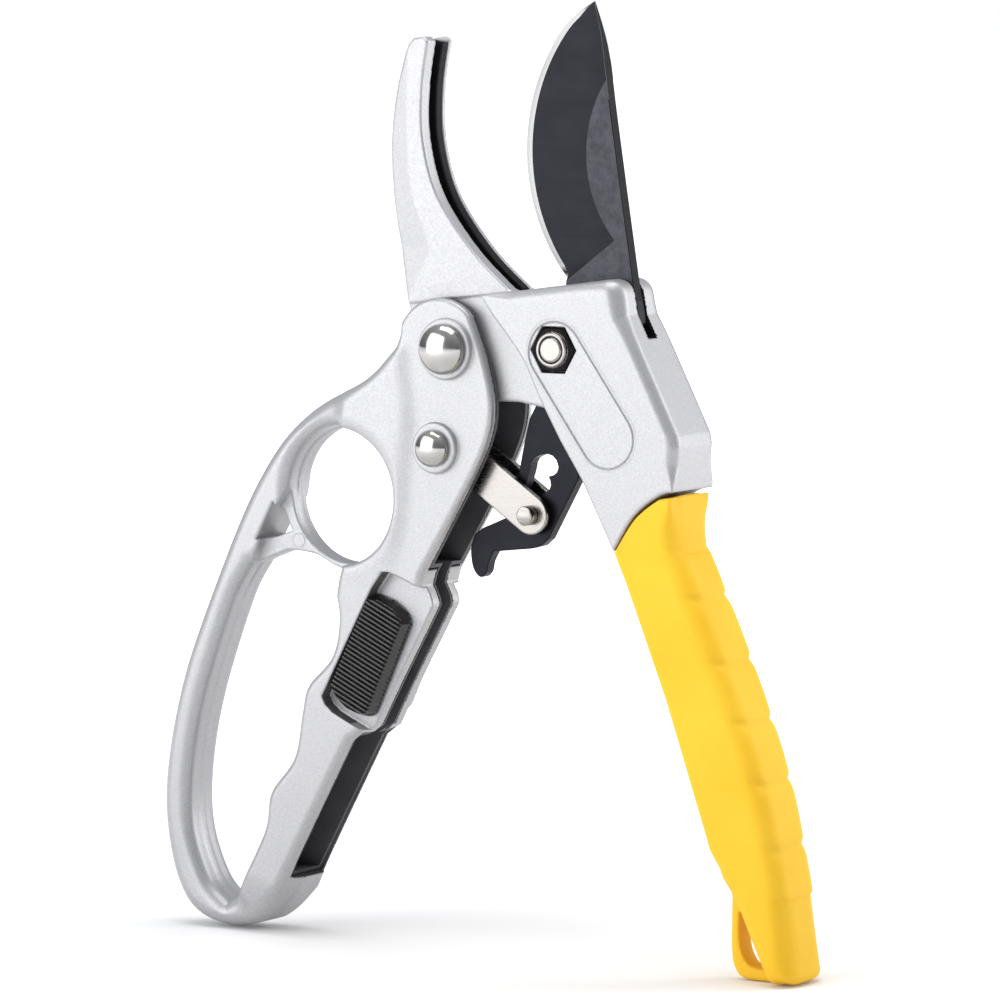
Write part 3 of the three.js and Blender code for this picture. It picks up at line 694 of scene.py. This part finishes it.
def grip_field(x, y, z):
    ay = np.abs(y)
    flat = area(GRIP, x, z) + finger_dents(x, ay, z)
    top_edge = line_distance([(31.9, -32.4)] + GRIP_TOP, x, z)
    left_edge = line_distance(GRIP_TOP[-1:] + GRIP[:2], x, z)
    edge = 0.5 + (0.7 + 3.4 * ramp(left_edge, 2, 9)) * ramp(top_edge, 0.3, 9)
    body = plate(flat, ay, HALF_GRIP, edge)
    strap = plate(area(STRAP, x, z), ay, 2.9, 1.2)
    body = carve(merge(body, strap, 1.0), area(EYE, x, z), 0.5)
    notch = np.maximum(area(GRIP_NOTCH, x, z), ay - HALF_SLOT - 0.2)
    return carve(carve(body, tang_field(x, ay, z, PLAY)), notch)


def grip():
    piece = moulded("grip_sleeve", grip_field, (14, -10, -146), (66, 10, -31), 0.45, [YELLOW])
    return stand_for(piece, "main", "grip_yellow", "grip")


# ---- guard handle ----
GRIP_EDGE = [(-36.6, -54.6), (-26.5, -37.5), (-19.3, -24.3), (-17.0, -14.5), (-19.0, -4), (-23.2, 7.2)]
FINGER_EDGE = [(-63.4, -55.3), (-60.6, -65), (-62.4, -75.4), (-69.4, -83.2), (-71.3, -90), (-73.6, -101),
               (-80.4, -110), (-82.4, -119.6), (-90.8, -135.4)]
GUARD_OUTER = [(-45.4, -4.2), (-52.8, -10.5), (-64.3, -16.4), (-75.3, -24.3), (-84, -35.6), (-94.1, -53.6),
               (-104, -74), (-109.8, -91.2), (-113.2, -110), (-112.2, -124.6), (-106, -138),
               (-97.6, -144.7), (-88, -142.8), (-77.6, -133)]
BODY = (
    [(-86, -139.6), (-78.4, -133.2), (-57.6, -95.6), (-54.4, -93.6)]
    + spline([(-52, -92.2), (-45.8, -80.8), (-37.2, -65.4), (-35.6, -61.6), (-37.4, -57.4)], 20)
    + spline(GRIP_EDGE, 40)
    + arc((-32, -0.7), 11.9, 50, 152, 24)
    + spline([(-43.2, -1.0), (-46.8, -5.4), (-51, -9.3), (-58, -14.2)], 12)
    + arc(RING_CENTRE, RING_R, 84, -84, 40)
    + [(-60.2, -56.5)]
    + [p for p in spline(FINGER_EDGE, 60) if p[1] < -60.5]
)
GUARD = spline(GUARD_OUTER, 80) + [(-58, -94), (-49, -74), (-45, -40), (-42, -9), (-42.6, -2)]
OPENING = (
    spline([(-88.2, -55), (-93.8, -64.4), (-102.4, -87.6), (-106.3, -106), (-106.3, -120.6),
            (-101.7, -133), (-96, -138.6)], 40)
    + spline(FINGER_EDGE[::-1], 60)
    + spline([(-66.4, -54.3), (-71.6, -52), (-79, -51.4)], 12)
)
WEB_ROOM = [(-88.6, -56.6), (-84.2, -46.5), (-77.6, -36), (-70, -34), (-56, -52), (-60, -62)]
STRUT = [(-57, -50), (-57, -64), (-61.5, -63), (-66, -57), (-79, -52), (-88, -56), (-94, -62), (-92, -46),
         (-76, -43)]
STRUT_HOLE = [(-81.2, -39.4), (-86.3, -48.9), (-82, -48), (-78.1, -46.6), (-79.6, -43)]
RIM_WIDTH = 3.7                         # thin rim round the finger ring
GUARD_FOOT_Z = -144.9                   # the guard handle's lower end is flat here, on the floor
EJECTOR = (-75.9, -48.8)
CHANNEL_UPPER = [(-10, -54), (-10, 20), (-48, 20), (-48, 0.5)] + spline(
    [(-46.5, -4), (-46, -12), (-41.2, -24), (-40.9, -38), (-46.5, -53.5)], 24) + [(-36, -53.5)]
CHANNEL_LOWER = [latch_point(20, -17.6), latch_point(-4.4, -17.6)] + spline(
    [(-69, -92.8), (-70.8, -101), (-77.4, -112), (-79, -120.6), (-84, -130.6)], 20) + [(-60, -130.6)]
POCKET = latch_outline(
    (-7.0, -14.4), (-5.2, -15.8), (-2.6, -16.5), (5.6, -16.4), (20, -16.4), (20, 23.6), (7.3, 23.2),
    (6.4, 22.4), (-2.7, 21.9), (-4.6, 21.0), (-5.6, 16))
POCKET_BED = 6.0                        # half distance between the beds of the two latch pockets
HALF_ZONE = 3.0                         # half width of the room for the latch bar
WINDOW = latch_outline((-4.4, -9.2), (1.2, -9.2), (1.2, 14.2), (-4.4, 14.2))
ZONE = latch_outline((-5.6, -30), (16, -30), (16, 34), (-5.6, 34))


def guard_shell(x, ay, z):
    """The solid handle: thick body, round guard bar, and the thin web round the finger ring."""
    ring = disc(RING_CENTRE, x, z) - RING_R
    opening = area(OPENING, x, z)
    grow = 1.3 + 1.5 * ramp(z, -75, -35) + 1.0 * ramp(-z, 120, 136) - 1.8 * ramp(z, -18, -6)
    outer = carve(area(GUARD, x, z) - grow, z - GUARD_FOOT_Z, 7.0)
    thick = HALF_BODY - 2.6 * ramp(-z + 0.35 * (-x - 90), 128, 144)
    edge = 1.15 + 0.6 * ramp(-z, 30, 60)
    body = plate(np.maximum(area(BODY, x, z), -opening), ay, thick, edge)
    swell = 3.0 * ramp(x, -76, -54) * ramp(z, -60, -40) + 0.3 * ramp(-z, 128, 142)
    bar = plate(np.maximum(np.maximum(outer, -opening), -ring), ay, HALF_BAR + swell, 3.4)
    bar = carve(bar, area(WEB_ROOM, x, z), 0.8)
    rim = np.minimum(ring - RIM_WIDTH, area(STRUT, x, z))
    web = plate(np.maximum(np.maximum(rim, outer + 0.6), np.maximum(-ring, -opening)), ay, HALF_WEB, 0.5)
    whole = merge(merge(body, bar, 4.5), web, 2.2)
    seam = 0.3 * (1 - ramp(ay, 0.7, 1.3))
    whole = carve(carve(whole, ring + seam, 0.5), opening + seam, 0.5)
    return carve(whole, area(STRUT_HOLE, x, z), 0.4)


def guard_field(x, y, z):
    ay = np.abs(y)
    boss = np.minimum(plate(disc(PIVOT, x, z) - 7.2, ay, HALF_BODY + BOSS_RISE, 0.35),
                      plate(disc(LINK_PIVOT, x, z) - 6.0, ay, HALF_BODY + BOSS_RISE, 0.35))
    whole = merge(guard_shell(x, ay, z), np.maximum(boss, HALF_CHANNEL - ay), 0.25)
    for outline, half in ((CHANNEL_UPPER, HALF_CHANNEL), (CHANNEL_LOWER, HALF_CHANNEL), (ZONE, HALF_ZONE)):
        whole = carve(whole, inside_of(outline, half, x, ay, z))
    whole = carve(whole, plate(area(POCKET, x, z), -ay, -POCKET_BED, 0.25))
    whole = carve(whole, np.maximum(area(WINDOW, x, z), 2.0 - ay))
    return bored(bored(whole, PIVOT, RIVET_R, x, z), LINK_PIVOT, LINK_RIVET_R, x, z)


def guard_lining_and_shade(x, ay, z, upright):
    """The channels and the latch bar's room take the lining's black; the shaded walls of the latch pockets
    and the walls of their windows are painted black as shade.
    """
    edge = np.where(upright < 0.5, 0.3, -0.15)
    channel = np.minimum(area(CHANNEL_UPPER, x, z), area(CHANNEL_LOWER, x, z)) < edge
    zone = (area(ZONE, x, z) < edge) & (ay < np.where(upright > 0.5, 3.25, 2.8))
    across, along = latch_frame(x, z)
    wall = (area(POCKET, x, z) < 0.35) & (ay > 6.15) & (ay < 9.3) & (upright < 0.5)
    # the left and lower walls of each pocket are painted black for the shade on them
    shaded = wall & ((across < -3.2) | ((along < -12) & (across < 3)))
    # the window's walls are painted black for the shade in the deep gap
    window = (area(WINDOW, x, z) < 0.3) & (ay < 5.9)
    channel = channel & (ay < np.where(upright > 0.5, HALF_CHANNEL + 0.3, HALF_CHANNEL - 0.2))
    return channel | zone | shaded | window


def guard_handle():
    piece = moulded("guard_handle_cast", guard_field, (-115, -11, -146), (-16, 11, 12), 0.42,
                    [SILVER, LINING_AND_SHADE], guard_lining_and_shade)
    return stand_for(piece, "guard", "cast_silver", "guard_handle")


def ejector_mark():
    """The small round mark an ejector pin leaves on the finger ring's strut."""
    top = HALF_WEB + 0.14
    profile = [(0, -top), (1.6, -top), (1.72, 0.08 - top), (1.78, 0.8 - top), (2.0, 0.8 - top),
               (2.02, 0.1 - top), (2.1, 0.1 - top), (2.2, -2.4), (0, -2.4)]
    piece = turned("ejector_mark_front", EJECTOR, profile, SILVER)
    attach(piece, "guard")


# ---- blade ----
EDGE_CENTRE, EDGE_R = (32.3, 46.2), 45.3
GRIND_CENTRE, GRIND_R = (34.2, 45.6), 30.0
SPINE = [(17.3, 13.4), (14.1, 33.5), (10.8, 54.7), (8.4, 70.6), (5.6, 80.9)]
TAIL = (
    [(-2.9, 15.9), (-5.6, 12.4)] + arc((0, 0), 13.5, 113, 208, 24)
    + [(-9.7, -14), (-11.4, -17), (-12.7, -22.2), (-15.6, -36), (-17.6, -40.6), (-24.3, -43.4)]
    + spline([(-26.6, -45), (-27.7, -48.6), (-27.1, -53), (-25.1, -55.2), (-23.3, -54), (-22.6, -51.4),
              (-21.2, -48.9)], 24)
    + [(-10.8, -47.7), (-8, -46.9), (-6, -45.2), (2.0, -30.9), (5.0, -20)]
    + arc((0, 0), 13.5, -62, 16, 20) + [(17.0, 4.8), (18.7, 6.3), (18.3, 9.2), (17.0, 15.4)]
)
RATCHET = (
    [(-10.9, -27.4), (-10.2, -26.3), (-8.6, -25.5), (-7.3, -25.2), (-6.2, -25.1), (-4.9, -25.5),
     (-3.8, -26.6), (-3.3, -28.1), (-3.7, -29.2), (-4.6, -30.0), (-6.1, -30.4), (-5.6, -31.2),
     (-5.4, -32.3), (-5.7, -33.3), (-6.6, -34.1), (-7.7, -34.6), (-8.1, -36.4)]
    + arc(LINK_PIN, 2.0, 50, -150, 16)
    + [(-12.4, -38), (-12.9, -35.4), (-12.2, -32.6), (-11.7, -30.7), (-11.0, -28.4)]
)
HEEL_Z = 15.8                           # the cutting edge starts here
TAIL_TOP = 11.6                         # the ground blade takes over above this, inside the slot
TIP_Z = 81.4                            # the blade would be a sharp point at this height
HONE_WIDTH = 1.75
GLINT_Z = 58                            # the corners of the spine take the bright honed steel above this, as a painted highlight
BEVEL_COLUMNS = 8                       # points across one side between the hone line and the spine


def tail_field(x, y, z):
    flat = np.maximum(area(TAIL, x, z), z - TAIL_TOP)
    body = plate(flat, np.abs(y), HALF_BLADE, 0.25)
    return bored(carve(body, area(RATCHET, x, z)), BOLT, BOLT_R, x, z)


def ground_rows(count):
    """Stations up the blade: z, then x of the edge, the grind line and the spine."""
    spine = spline(SPINE, 200)
    zs = [p[1] for p in spine]
    for i in range(count + 1):
        z = TAIL_TOP - 0.4 + (zs[-1] - TAIL_TOP + 0.4) * i / count
        back = np.interp(z, [9.2, 13.0] + zs[1:], [18.3, 17.4] + [p[0] for p in spine[1:]])
        edge = EDGE_CENTRE[0] - math.sqrt(EDGE_R ** 2 - (max(z, HEEL_Z) - EDGE_CENTRE[1]) ** 2)
        edge = min(edge + 0.05 * max(z - 74, 0) ** 2, back - 0.05)
        curve = GRIND_CENTRE[0] - math.sqrt(max(GRIND_R ** 2 - (z - GRIND_CENTRE[1]) ** 2, 0))
        line = min(curve if z > 25.4 else -1.4 + (z - 15.6) * 1.357, back - 0.03)
        yield z, edge, max(line, edge + 0.02), back


def blade_side(z, edge, line, back):
    """One side of the blade's section at a height, from the cutting edge to the spine, as (x, y)."""
    fade = min(1.0, (TIP_Z - z) / 15) ** 0.8
    half = HALF_BLADE * fade
    hone = min(HONE_WIDTH, (back - edge) * 0.26, max(line - edge, 0.02) * 0.5)
    width = max(line - edge - hone, 0.01)
    share = min(1.0, width / 6)
    side = [(edge, 0.04), (edge + hone, half - (half - 0.42 * fade) * share)]
    for k in range(1, BEVEL_COLUMNS):
        t = k / BEVEL_COLUMNS
        y = side[1][1] + (half - side[1][1]) * t ** 1.12
        side.append((edge + hone + width * t, y))
    return side + [(line, half), (back - 0.14, half), (back, half * 0.9)]


def ground_blade():
    """Closed skin of the ground blade with the hone and grind lines as edges of the mesh."""
    flat_slot, ground_slot, honed_and_glint_slot, spine_slot = range(4)
    points, faces, slots = [], [], []
    rows = list(ground_rows(150))
    for row in rows:
        side = blade_side(*row)
        points += [(x, -y, row[0]) for x, y in side] + [(x, y, row[0]) for x, y in reversed(side)]
    ring, bands = 2 * len(side), len(side) - 1
    for i in range(len(rows) - 1):
        above_heel = rows[i][0] > HEEL_Z
        for k in range(ring):
            a, b = i * ring + k, i * ring + (k + 1) % ring
            faces.append((a, b, b + ring, a + ring))
            band = k if k < bands else 2 * bands - k
            honed = above_heel and (band == 0 or k == ring - 1)
            # a painted highlight: the spine's corners near the tip take the honed steel
            glint = band == bands - 1 and rows[i][0] > GLINT_Z
            if honed or glint:
                slots.append(honed_and_glint_slot)
            elif band >= bands - 1:
                slots.append(spine_slot)
            elif above_heel and 1 <= band < bands - 2:
                slots.append(ground_slot)
            else:
                slots.append(flat_slot)
    faces.append(tuple(reversed(range(ring))))
    faces.append(tuple(range((len(rows) - 1) * ring, len(rows) * ring)))
    slots += [flat_slot, flat_slot]
    return points, faces, slots


def blade():
    points, quads = field_skin(tail_field, (-29, -1.8, -56), (20, 1.8, 12), 0.22)
    upper, faces, slots = ground_blade()
    shift = len(points)
    every = np.concatenate([points, np.array(upper)])
    all_faces = [tuple(q) for q in quads] + [tuple(v + shift for v in f) for f in faces]
    looks = [FLAT, GROUND, HONED_AND_GLINT, BLACK_AND_SHADE]
    piece = add_mesh("blade_plate", every, all_faces, looks, [1] * len(quads) + slots)
    crease(piece, 12)
    return stand_for(piece, "blade", "blade_coating", "blade")


# ---- bolt, nut and rivets ----
HEX_FLATS = 10.0                        # across the flats of the nut and of the bolt's head
THREAD_PITCH = 1.0
RIVET_SEAT = HALF_BODY + 1.75


def nut_field(x, y, z):
    radius = disc(BOLT, x, z)
    body = plate(hexagon(x, z, HEX_FLATS), np.abs(y + 7.6), 2.1, 0.15)
    body = np.maximum(body, (radius - 4.6 - (y + 9.7) * 1.2) * 0.6)
    collar = plate(radius - 4.1, np.abs(y + 9.3), 1.4, 0.45)
    body = carve(np.minimum(body, collar), np.maximum(radius - 3.2, y + 10.1), 0.25)
    return carve(body, radius - BOLT_R - 0.1)


def nut_painted_shade(x, ay, z, upright):
    """The hexagon of the nut, painted black as the shade in its pocket and as its dark reflection; its
    collar is plated.
    """
    return disc(BOLT, x, z) > 4.18


def main_nut():
    piece = moulded("main_nut_plated", nut_field, (-6, -11, -6), (6, -5, 6), 0.15, [PLATED, BLACK_AND_SHADE],
                    nut_painted_shade)
    return stand_for(piece, "main", "plated_steel", "main_nut")


def bolt_field(x, y, z):
    radius = disc(BOLT, x, z)
    head = plate(hexagon(x, z, HEX_FLATS), np.abs(y - 12.85), 1.85, 0.2)
    head = np.maximum(head, (radius - 5.3 + (y - 14.2) * 1.7) * 0.5)
    thread = 0.16 * np.abs(((y / THREAD_PITCH) % 1.0) * 2 - 1) * (y < -4)
    shank = plate(radius - BOLT_R + thread, np.abs(y - 0.6), 11.5, 0.45)
    return np.minimum(head, shank)


def main_bolt():
    piece = moulded("main_bolt_plated", bolt_field, (-6, -11, -6), (6, 15, 6), 0.2, [PLATED])
    return stand_for(piece, "main", "plated_steel", "main_bolt")


def bolt_washer():
    front, back, inner, outer = HALF_BODY + 0.1, HALF_BODY + 1.2, BOLT_R + PLAY, 6.6
    ring = [(inner, front), (outer - 0.25, front), (outer, front + 0.25), (outer, back - 0.3),
            (outer - 0.3, back), (inner, back)]
    piece = turned("bolt_washer_plated", BOLT, ring + ring[:1], PLATED)
    return stand_for(piece, "main", "plated_steel", "bolt_washer")


def both_ends(half):
    """A turned profile from its half on the positive side of Y."""
    return [(r, -y) for r, y in reversed(half)] + half[1:]


def rivet(name, centre, shank, dome, node):
    """A rivet with a domed head of radius dome at both ends."""
    rise = dome * 0.56
    cap = [(dome * math.cos(a), RIVET_SEAT + 0.45 + rise * math.sin(a))
           for a in np.linspace(0, math.pi / 2, 16)]
    shoulder = [(dome - 0.15, RIVET_SEAT), (dome, RIVET_SEAT + 0.15)]
    half = [(shank, 0), (shank, RIVET_SEAT)] + shoulder + cap[:-1] + [(0, cap[-1][1])]
    piece = turned(name, centre, both_ends(half), NICKEL)
    return stand_for(piece, "guard", "rivet_chrome", node)


# ---- link ----
LINK_Y = 3.525                          # middle of each link plate's thickness
LINK_HALF_WIDTH, HALF_LINK = 4.65, 0.775
LINK_PIN_R = 1.35


def link_field(side):
    """The field of the link plate in front (-1) or at the back (1)."""
    def field(x, y, z):
        flat = line_distance([LINK_PIVOT, LINK_PIN], x, z) - LINK_HALF_WIDTH
        body = plate(flat, np.abs(y - side * LINK_Y), HALF_LINK, 0.28)
        body = bored(body, LINK_PIVOT, LINK_RIVET_R, x, z)
        return carve(body, disc(LINK_PIN, x, z) - LINK_PIN_R - 0.25)
    return field


def link_plate(name, side, node):
    low, high = (-38, side * LINK_Y - 1, -45), (-4, side * LINK_Y + 1, -19)
    piece = moulded(name, link_field(side), low, high, 0.2, [PLATED])
    return stand_for(piece, "link", "plated_steel", node)


def link_pin():
    """The link pin, slimmer in the middle where it runs in the ratchet window."""
    half = [(1.0, 0), (1.0, 2.5), (LINK_PIN_R, 2.6), (LINK_PIN_R, 4.45), (2.2, 4.5), (2.3, 4.6), (2.3, 6.5),
            (2.1, 6.85), (1.7, 7.0), (0, 7.0)]
    piece = turned("link_pin_plated", LINK_PIN, both_ends(half), PLATED)
    return stand_for(piece, "link", "plated_steel", "link_pin")


# ---- latch ----
PAD = latch_outline(
    (-5.7, -10.6), (-4.0, -11.9), (-1.8, -12.9), (0.6, -13.3), (2.9, -13.1), (5.3, -12.2), (5.9, -11.2),
    (5.5, 12.0), (4.6, 13.2), (2.0, 14.1), (-0.2, 14.3), (-2.4, 14.1), (-5.4, 13.1))
RIB_PITCH = 1.08


def button_field(side):
    """The field of the ribbed button in front (-1) or at the back (1)."""
    def field(x, y, z):
        depth = y * side
        along = latch_frame(x, z)[1]
        spread = 0.34 * (10.1 - depth) + 0.5 * (side > 0)
        ridge = 0.95 * (1 - np.abs(np.sin(math.pi * along / RIB_PITCH))) ** 0.9
        flat = area(PAD, x, z) - spread
        return plate(flat, np.abs(depth - 8.2), 1.9 - ridge, 0.15) * 0.8
    return field


def latch_button(name, side, node):
    near, far = sorted((side * 6, side * 10.4))
    low, high = (-64, near, -90), (-39, far, -59)
    piece = moulded(name, button_field(side), low, high, 0.17, [PLASTIC])
    return stand_for(piece, "latch", "latch_black", node)


BAR = latch_outline(
    (-3.9, -11), (2.6, -11), (3.4, -4.6), (6.6, -3.4), (7.2, -1.4), (0.6, -0.6), (0.6, 10.6), (-3.9, 10.6),
    (-3.9, 8.2), (-2.1, 7.4), (-2.1, -7.4), (-3.9, -8.2))
STEM = latch_outline((-2.1, -7.5), (0.4, -7.5), (0.4, 8), (-2.1, 8))


def latch_bar_field(x, y, z):
    ay = np.abs(y)
    return np.minimum(plate(area(BAR, x, z), ay, 1.5, 0.3), plate(area(STEM, x, z), ay, 6.0, 0.2))


def latch_bar():
    piece = moulded("latch_bar_moulded", latch_bar_field, (-62, -6.1, -88), (-44, 6.1, -62), 0.25, [BLACK_AND_SHADE])
    return stand_for(piece, "latch", "latch_black", "latch_bar")


# ---- pieces that keep their frame shape ----
def finish_frame_nodes():
    """Materials for the frame parts that are shown as they are."""
    looks = {"channel_liner": LINING_AND_SHADE, "opening_spring": WIRE, "link_spring": WIRE, "latch_spring": WIRE}
    for node, material in looks.items():
        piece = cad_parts[node]
        piece.data.materials.clear()
        piece.data.materials.append(material)
        smooth = node.endswith("_spring")
        piece.data.polygons.foreach_set("use_smooth", [smooth] * len(piece.data.polygons))


# ---- camera, light and floor ----
AIM = (-13.1, -11.8, -35.5)             # what the camera looks at, millimetres from the main bolt
AZIMUTH, ELEVATION = math.radians(32), math.radians(5)
DISTANCE, FOCAL = 1300, 199.8
AMBIENT = 1.0                           # strength of the world's light
HALF_FLOOR = 30.0                       # metres
LIGHT_AIM = (0.0, 0.0, 0.11)            # metres, as all the places below
SOFTBOXES = {                           # place, width, height, power
    "front": ((-0.62, -0.98, 0.38), 1.15, 1.15, 12.5),
    "right": ((0.85, 0.80, 0.45), 0.6, 0.9, 6.8),
    "top": ((0.0, 0.0, 1.05), 0.8, 0.8, 7.0),
}


def camera():
    """The photograph's view: from the front right, a little above."""
    back = Vector((math.sin(AZIMUTH) * math.cos(ELEVATION), -math.cos(AZIMUTH) * math.cos(ELEVATION),
                   math.sin(ELEVATION)))
    data = bpy.data.cameras.new("camera")
    data.lens, data.sensor_width = FOCAL, 36
    data.clip_start, data.clip_end = 0.05, 50
    cam = add_object("camera", data)
    cam.location = Vector(AIM) * MM + ORIGIN + back * DISTANCE * MM
    cam.rotation_mode = "QUATERNION"
    cam.rotation_quaternion = (-back).to_track_quat("-Z", "Y")
    bpy.context.scene.camera = cam


def softbox(name, place, width, height, power):
    """A white area light that points at the middle of the tool."""
    data = bpy.data.lights.new(name, "AREA")
    data.shape, data.size, data.size_y = "RECTANGLE", width, height
    data.energy = power
    light = add_object(name, data)
    light.location = place
    light.rotation_mode = "QUATERNION"
    light.rotation_quaternion = (Vector(LIGHT_AIM) - Vector(place)).to_track_quat("-Z", "Y")


def world_light(scene):
    """White behind the tool for the camera; a soft grey studio, dark low down, for everything else."""
    world = bpy.data.worlds.new("studio")
    scene.world = world
    world.use_nodes = True
    tree = world.node_tree
    studio = tree.nodes["Background"]
    place = new_node(tree, "TexCoord").outputs["Generated"]
    height = new_node(tree, "SeparateXYZ", Vector=place).outputs["Z"]
    lift = new_node(tree, "MapRange", From_Min=-1, From_Max=1, Value=height)
    tone = tone_ramp(tree, lift.outputs["Result"], (0.42, (0.10, 0.105, 0.12, 1)),
                     (0.95, (0.62, 0.63, 0.66, 1)))
    feed(tree, studio.inputs["Color"], tone)
    studio.inputs["Strength"].default_value = AMBIENT
    seen = new_node(tree, "Background", Color=(1, 1, 1, 1))
    path, mix = new_node(tree, "LightPath"), new_node(tree, "MixShader")
    parts = (path.outputs["Is Camera Ray"], studio.outputs[0], seen.outputs[0])
    for socket, value in zip(mix.inputs, parts):
        feed(tree, socket, value)
    feed(tree, tree.nodes["World Output"].inputs["Surface"], mix.outputs[0])


def studio_floor():
    """A white floor that glows more away from the tool, so that it meets the white behind it."""
    corners = [(sx * HALF_FLOOR, sy * HALF_FLOOR, 0) for sx, sy in ((-1, -1), (1, -1), (1, 1), (-1, 1))]
    mesh = bpy.data.meshes.new("floor")
    mesh.from_pydata(corners, [], [(0, 1, 2, 3)])
    floor = add_object("floor", mesh)
    m = Nodes("pale_floor").set(Roughness=0.9, Specular_IOR_Level=0.1)
    m.link(m.ramp(m.noise(8, 2), (0.3, grey(0.80)), (0.7, grey(0.84))), "Base Color")
    reach = new_node(m.tree, "VectorMath")
    reach.operation = "LENGTH"
    feed(m.tree, reach.inputs[0], m.place)
    glow = m.ramp(reach.outputs["Value"], (0.16, grey(0.05)), (0.45, grey(0.45)), (0.95, grey(1.0)))
    m.link(glow, "Emission Color")
    m.shader.inputs["Emission Strength"].default_value = 1.0
    mesh.materials.append(m.material)
    floor.location.z = -0.0001


def studio():
    scene = bpy.context.scene
    scene.view_settings.view_transform = "Standard"
    world_light(scene)
    for name, (place, width, height, power) in SOFTBOXES.items():
        softbox(name, place, width, height, power)
    studio_floor()


camera()
studio()
main_casting()
recess_panel()
hook_strip()
grip()
guard_handle()
ejector_mark()
blade()
main_nut()
main_bolt()
bolt_washer()
rivet("pivot_rivet_domed", PIVOT, RIVET_R, 6.0, "pivot_rivet")
rivet("link_rivet_domed", LINK_PIVOT, LINK_RIVET_R, 4.4, "link_rivet")
link_plate("link_plate_front_plated", -1, "link_plate_front")
link_plate("link_plate_back_plated", 1, "link_plate_back")
link_pin()
latch_button("latch_button_front_ribbed", -1, "latch_button_front")
latch_button("latch_button_back_ribbed", 1, "latch_button_back")
latch_bar()
finish_frame_nodes()
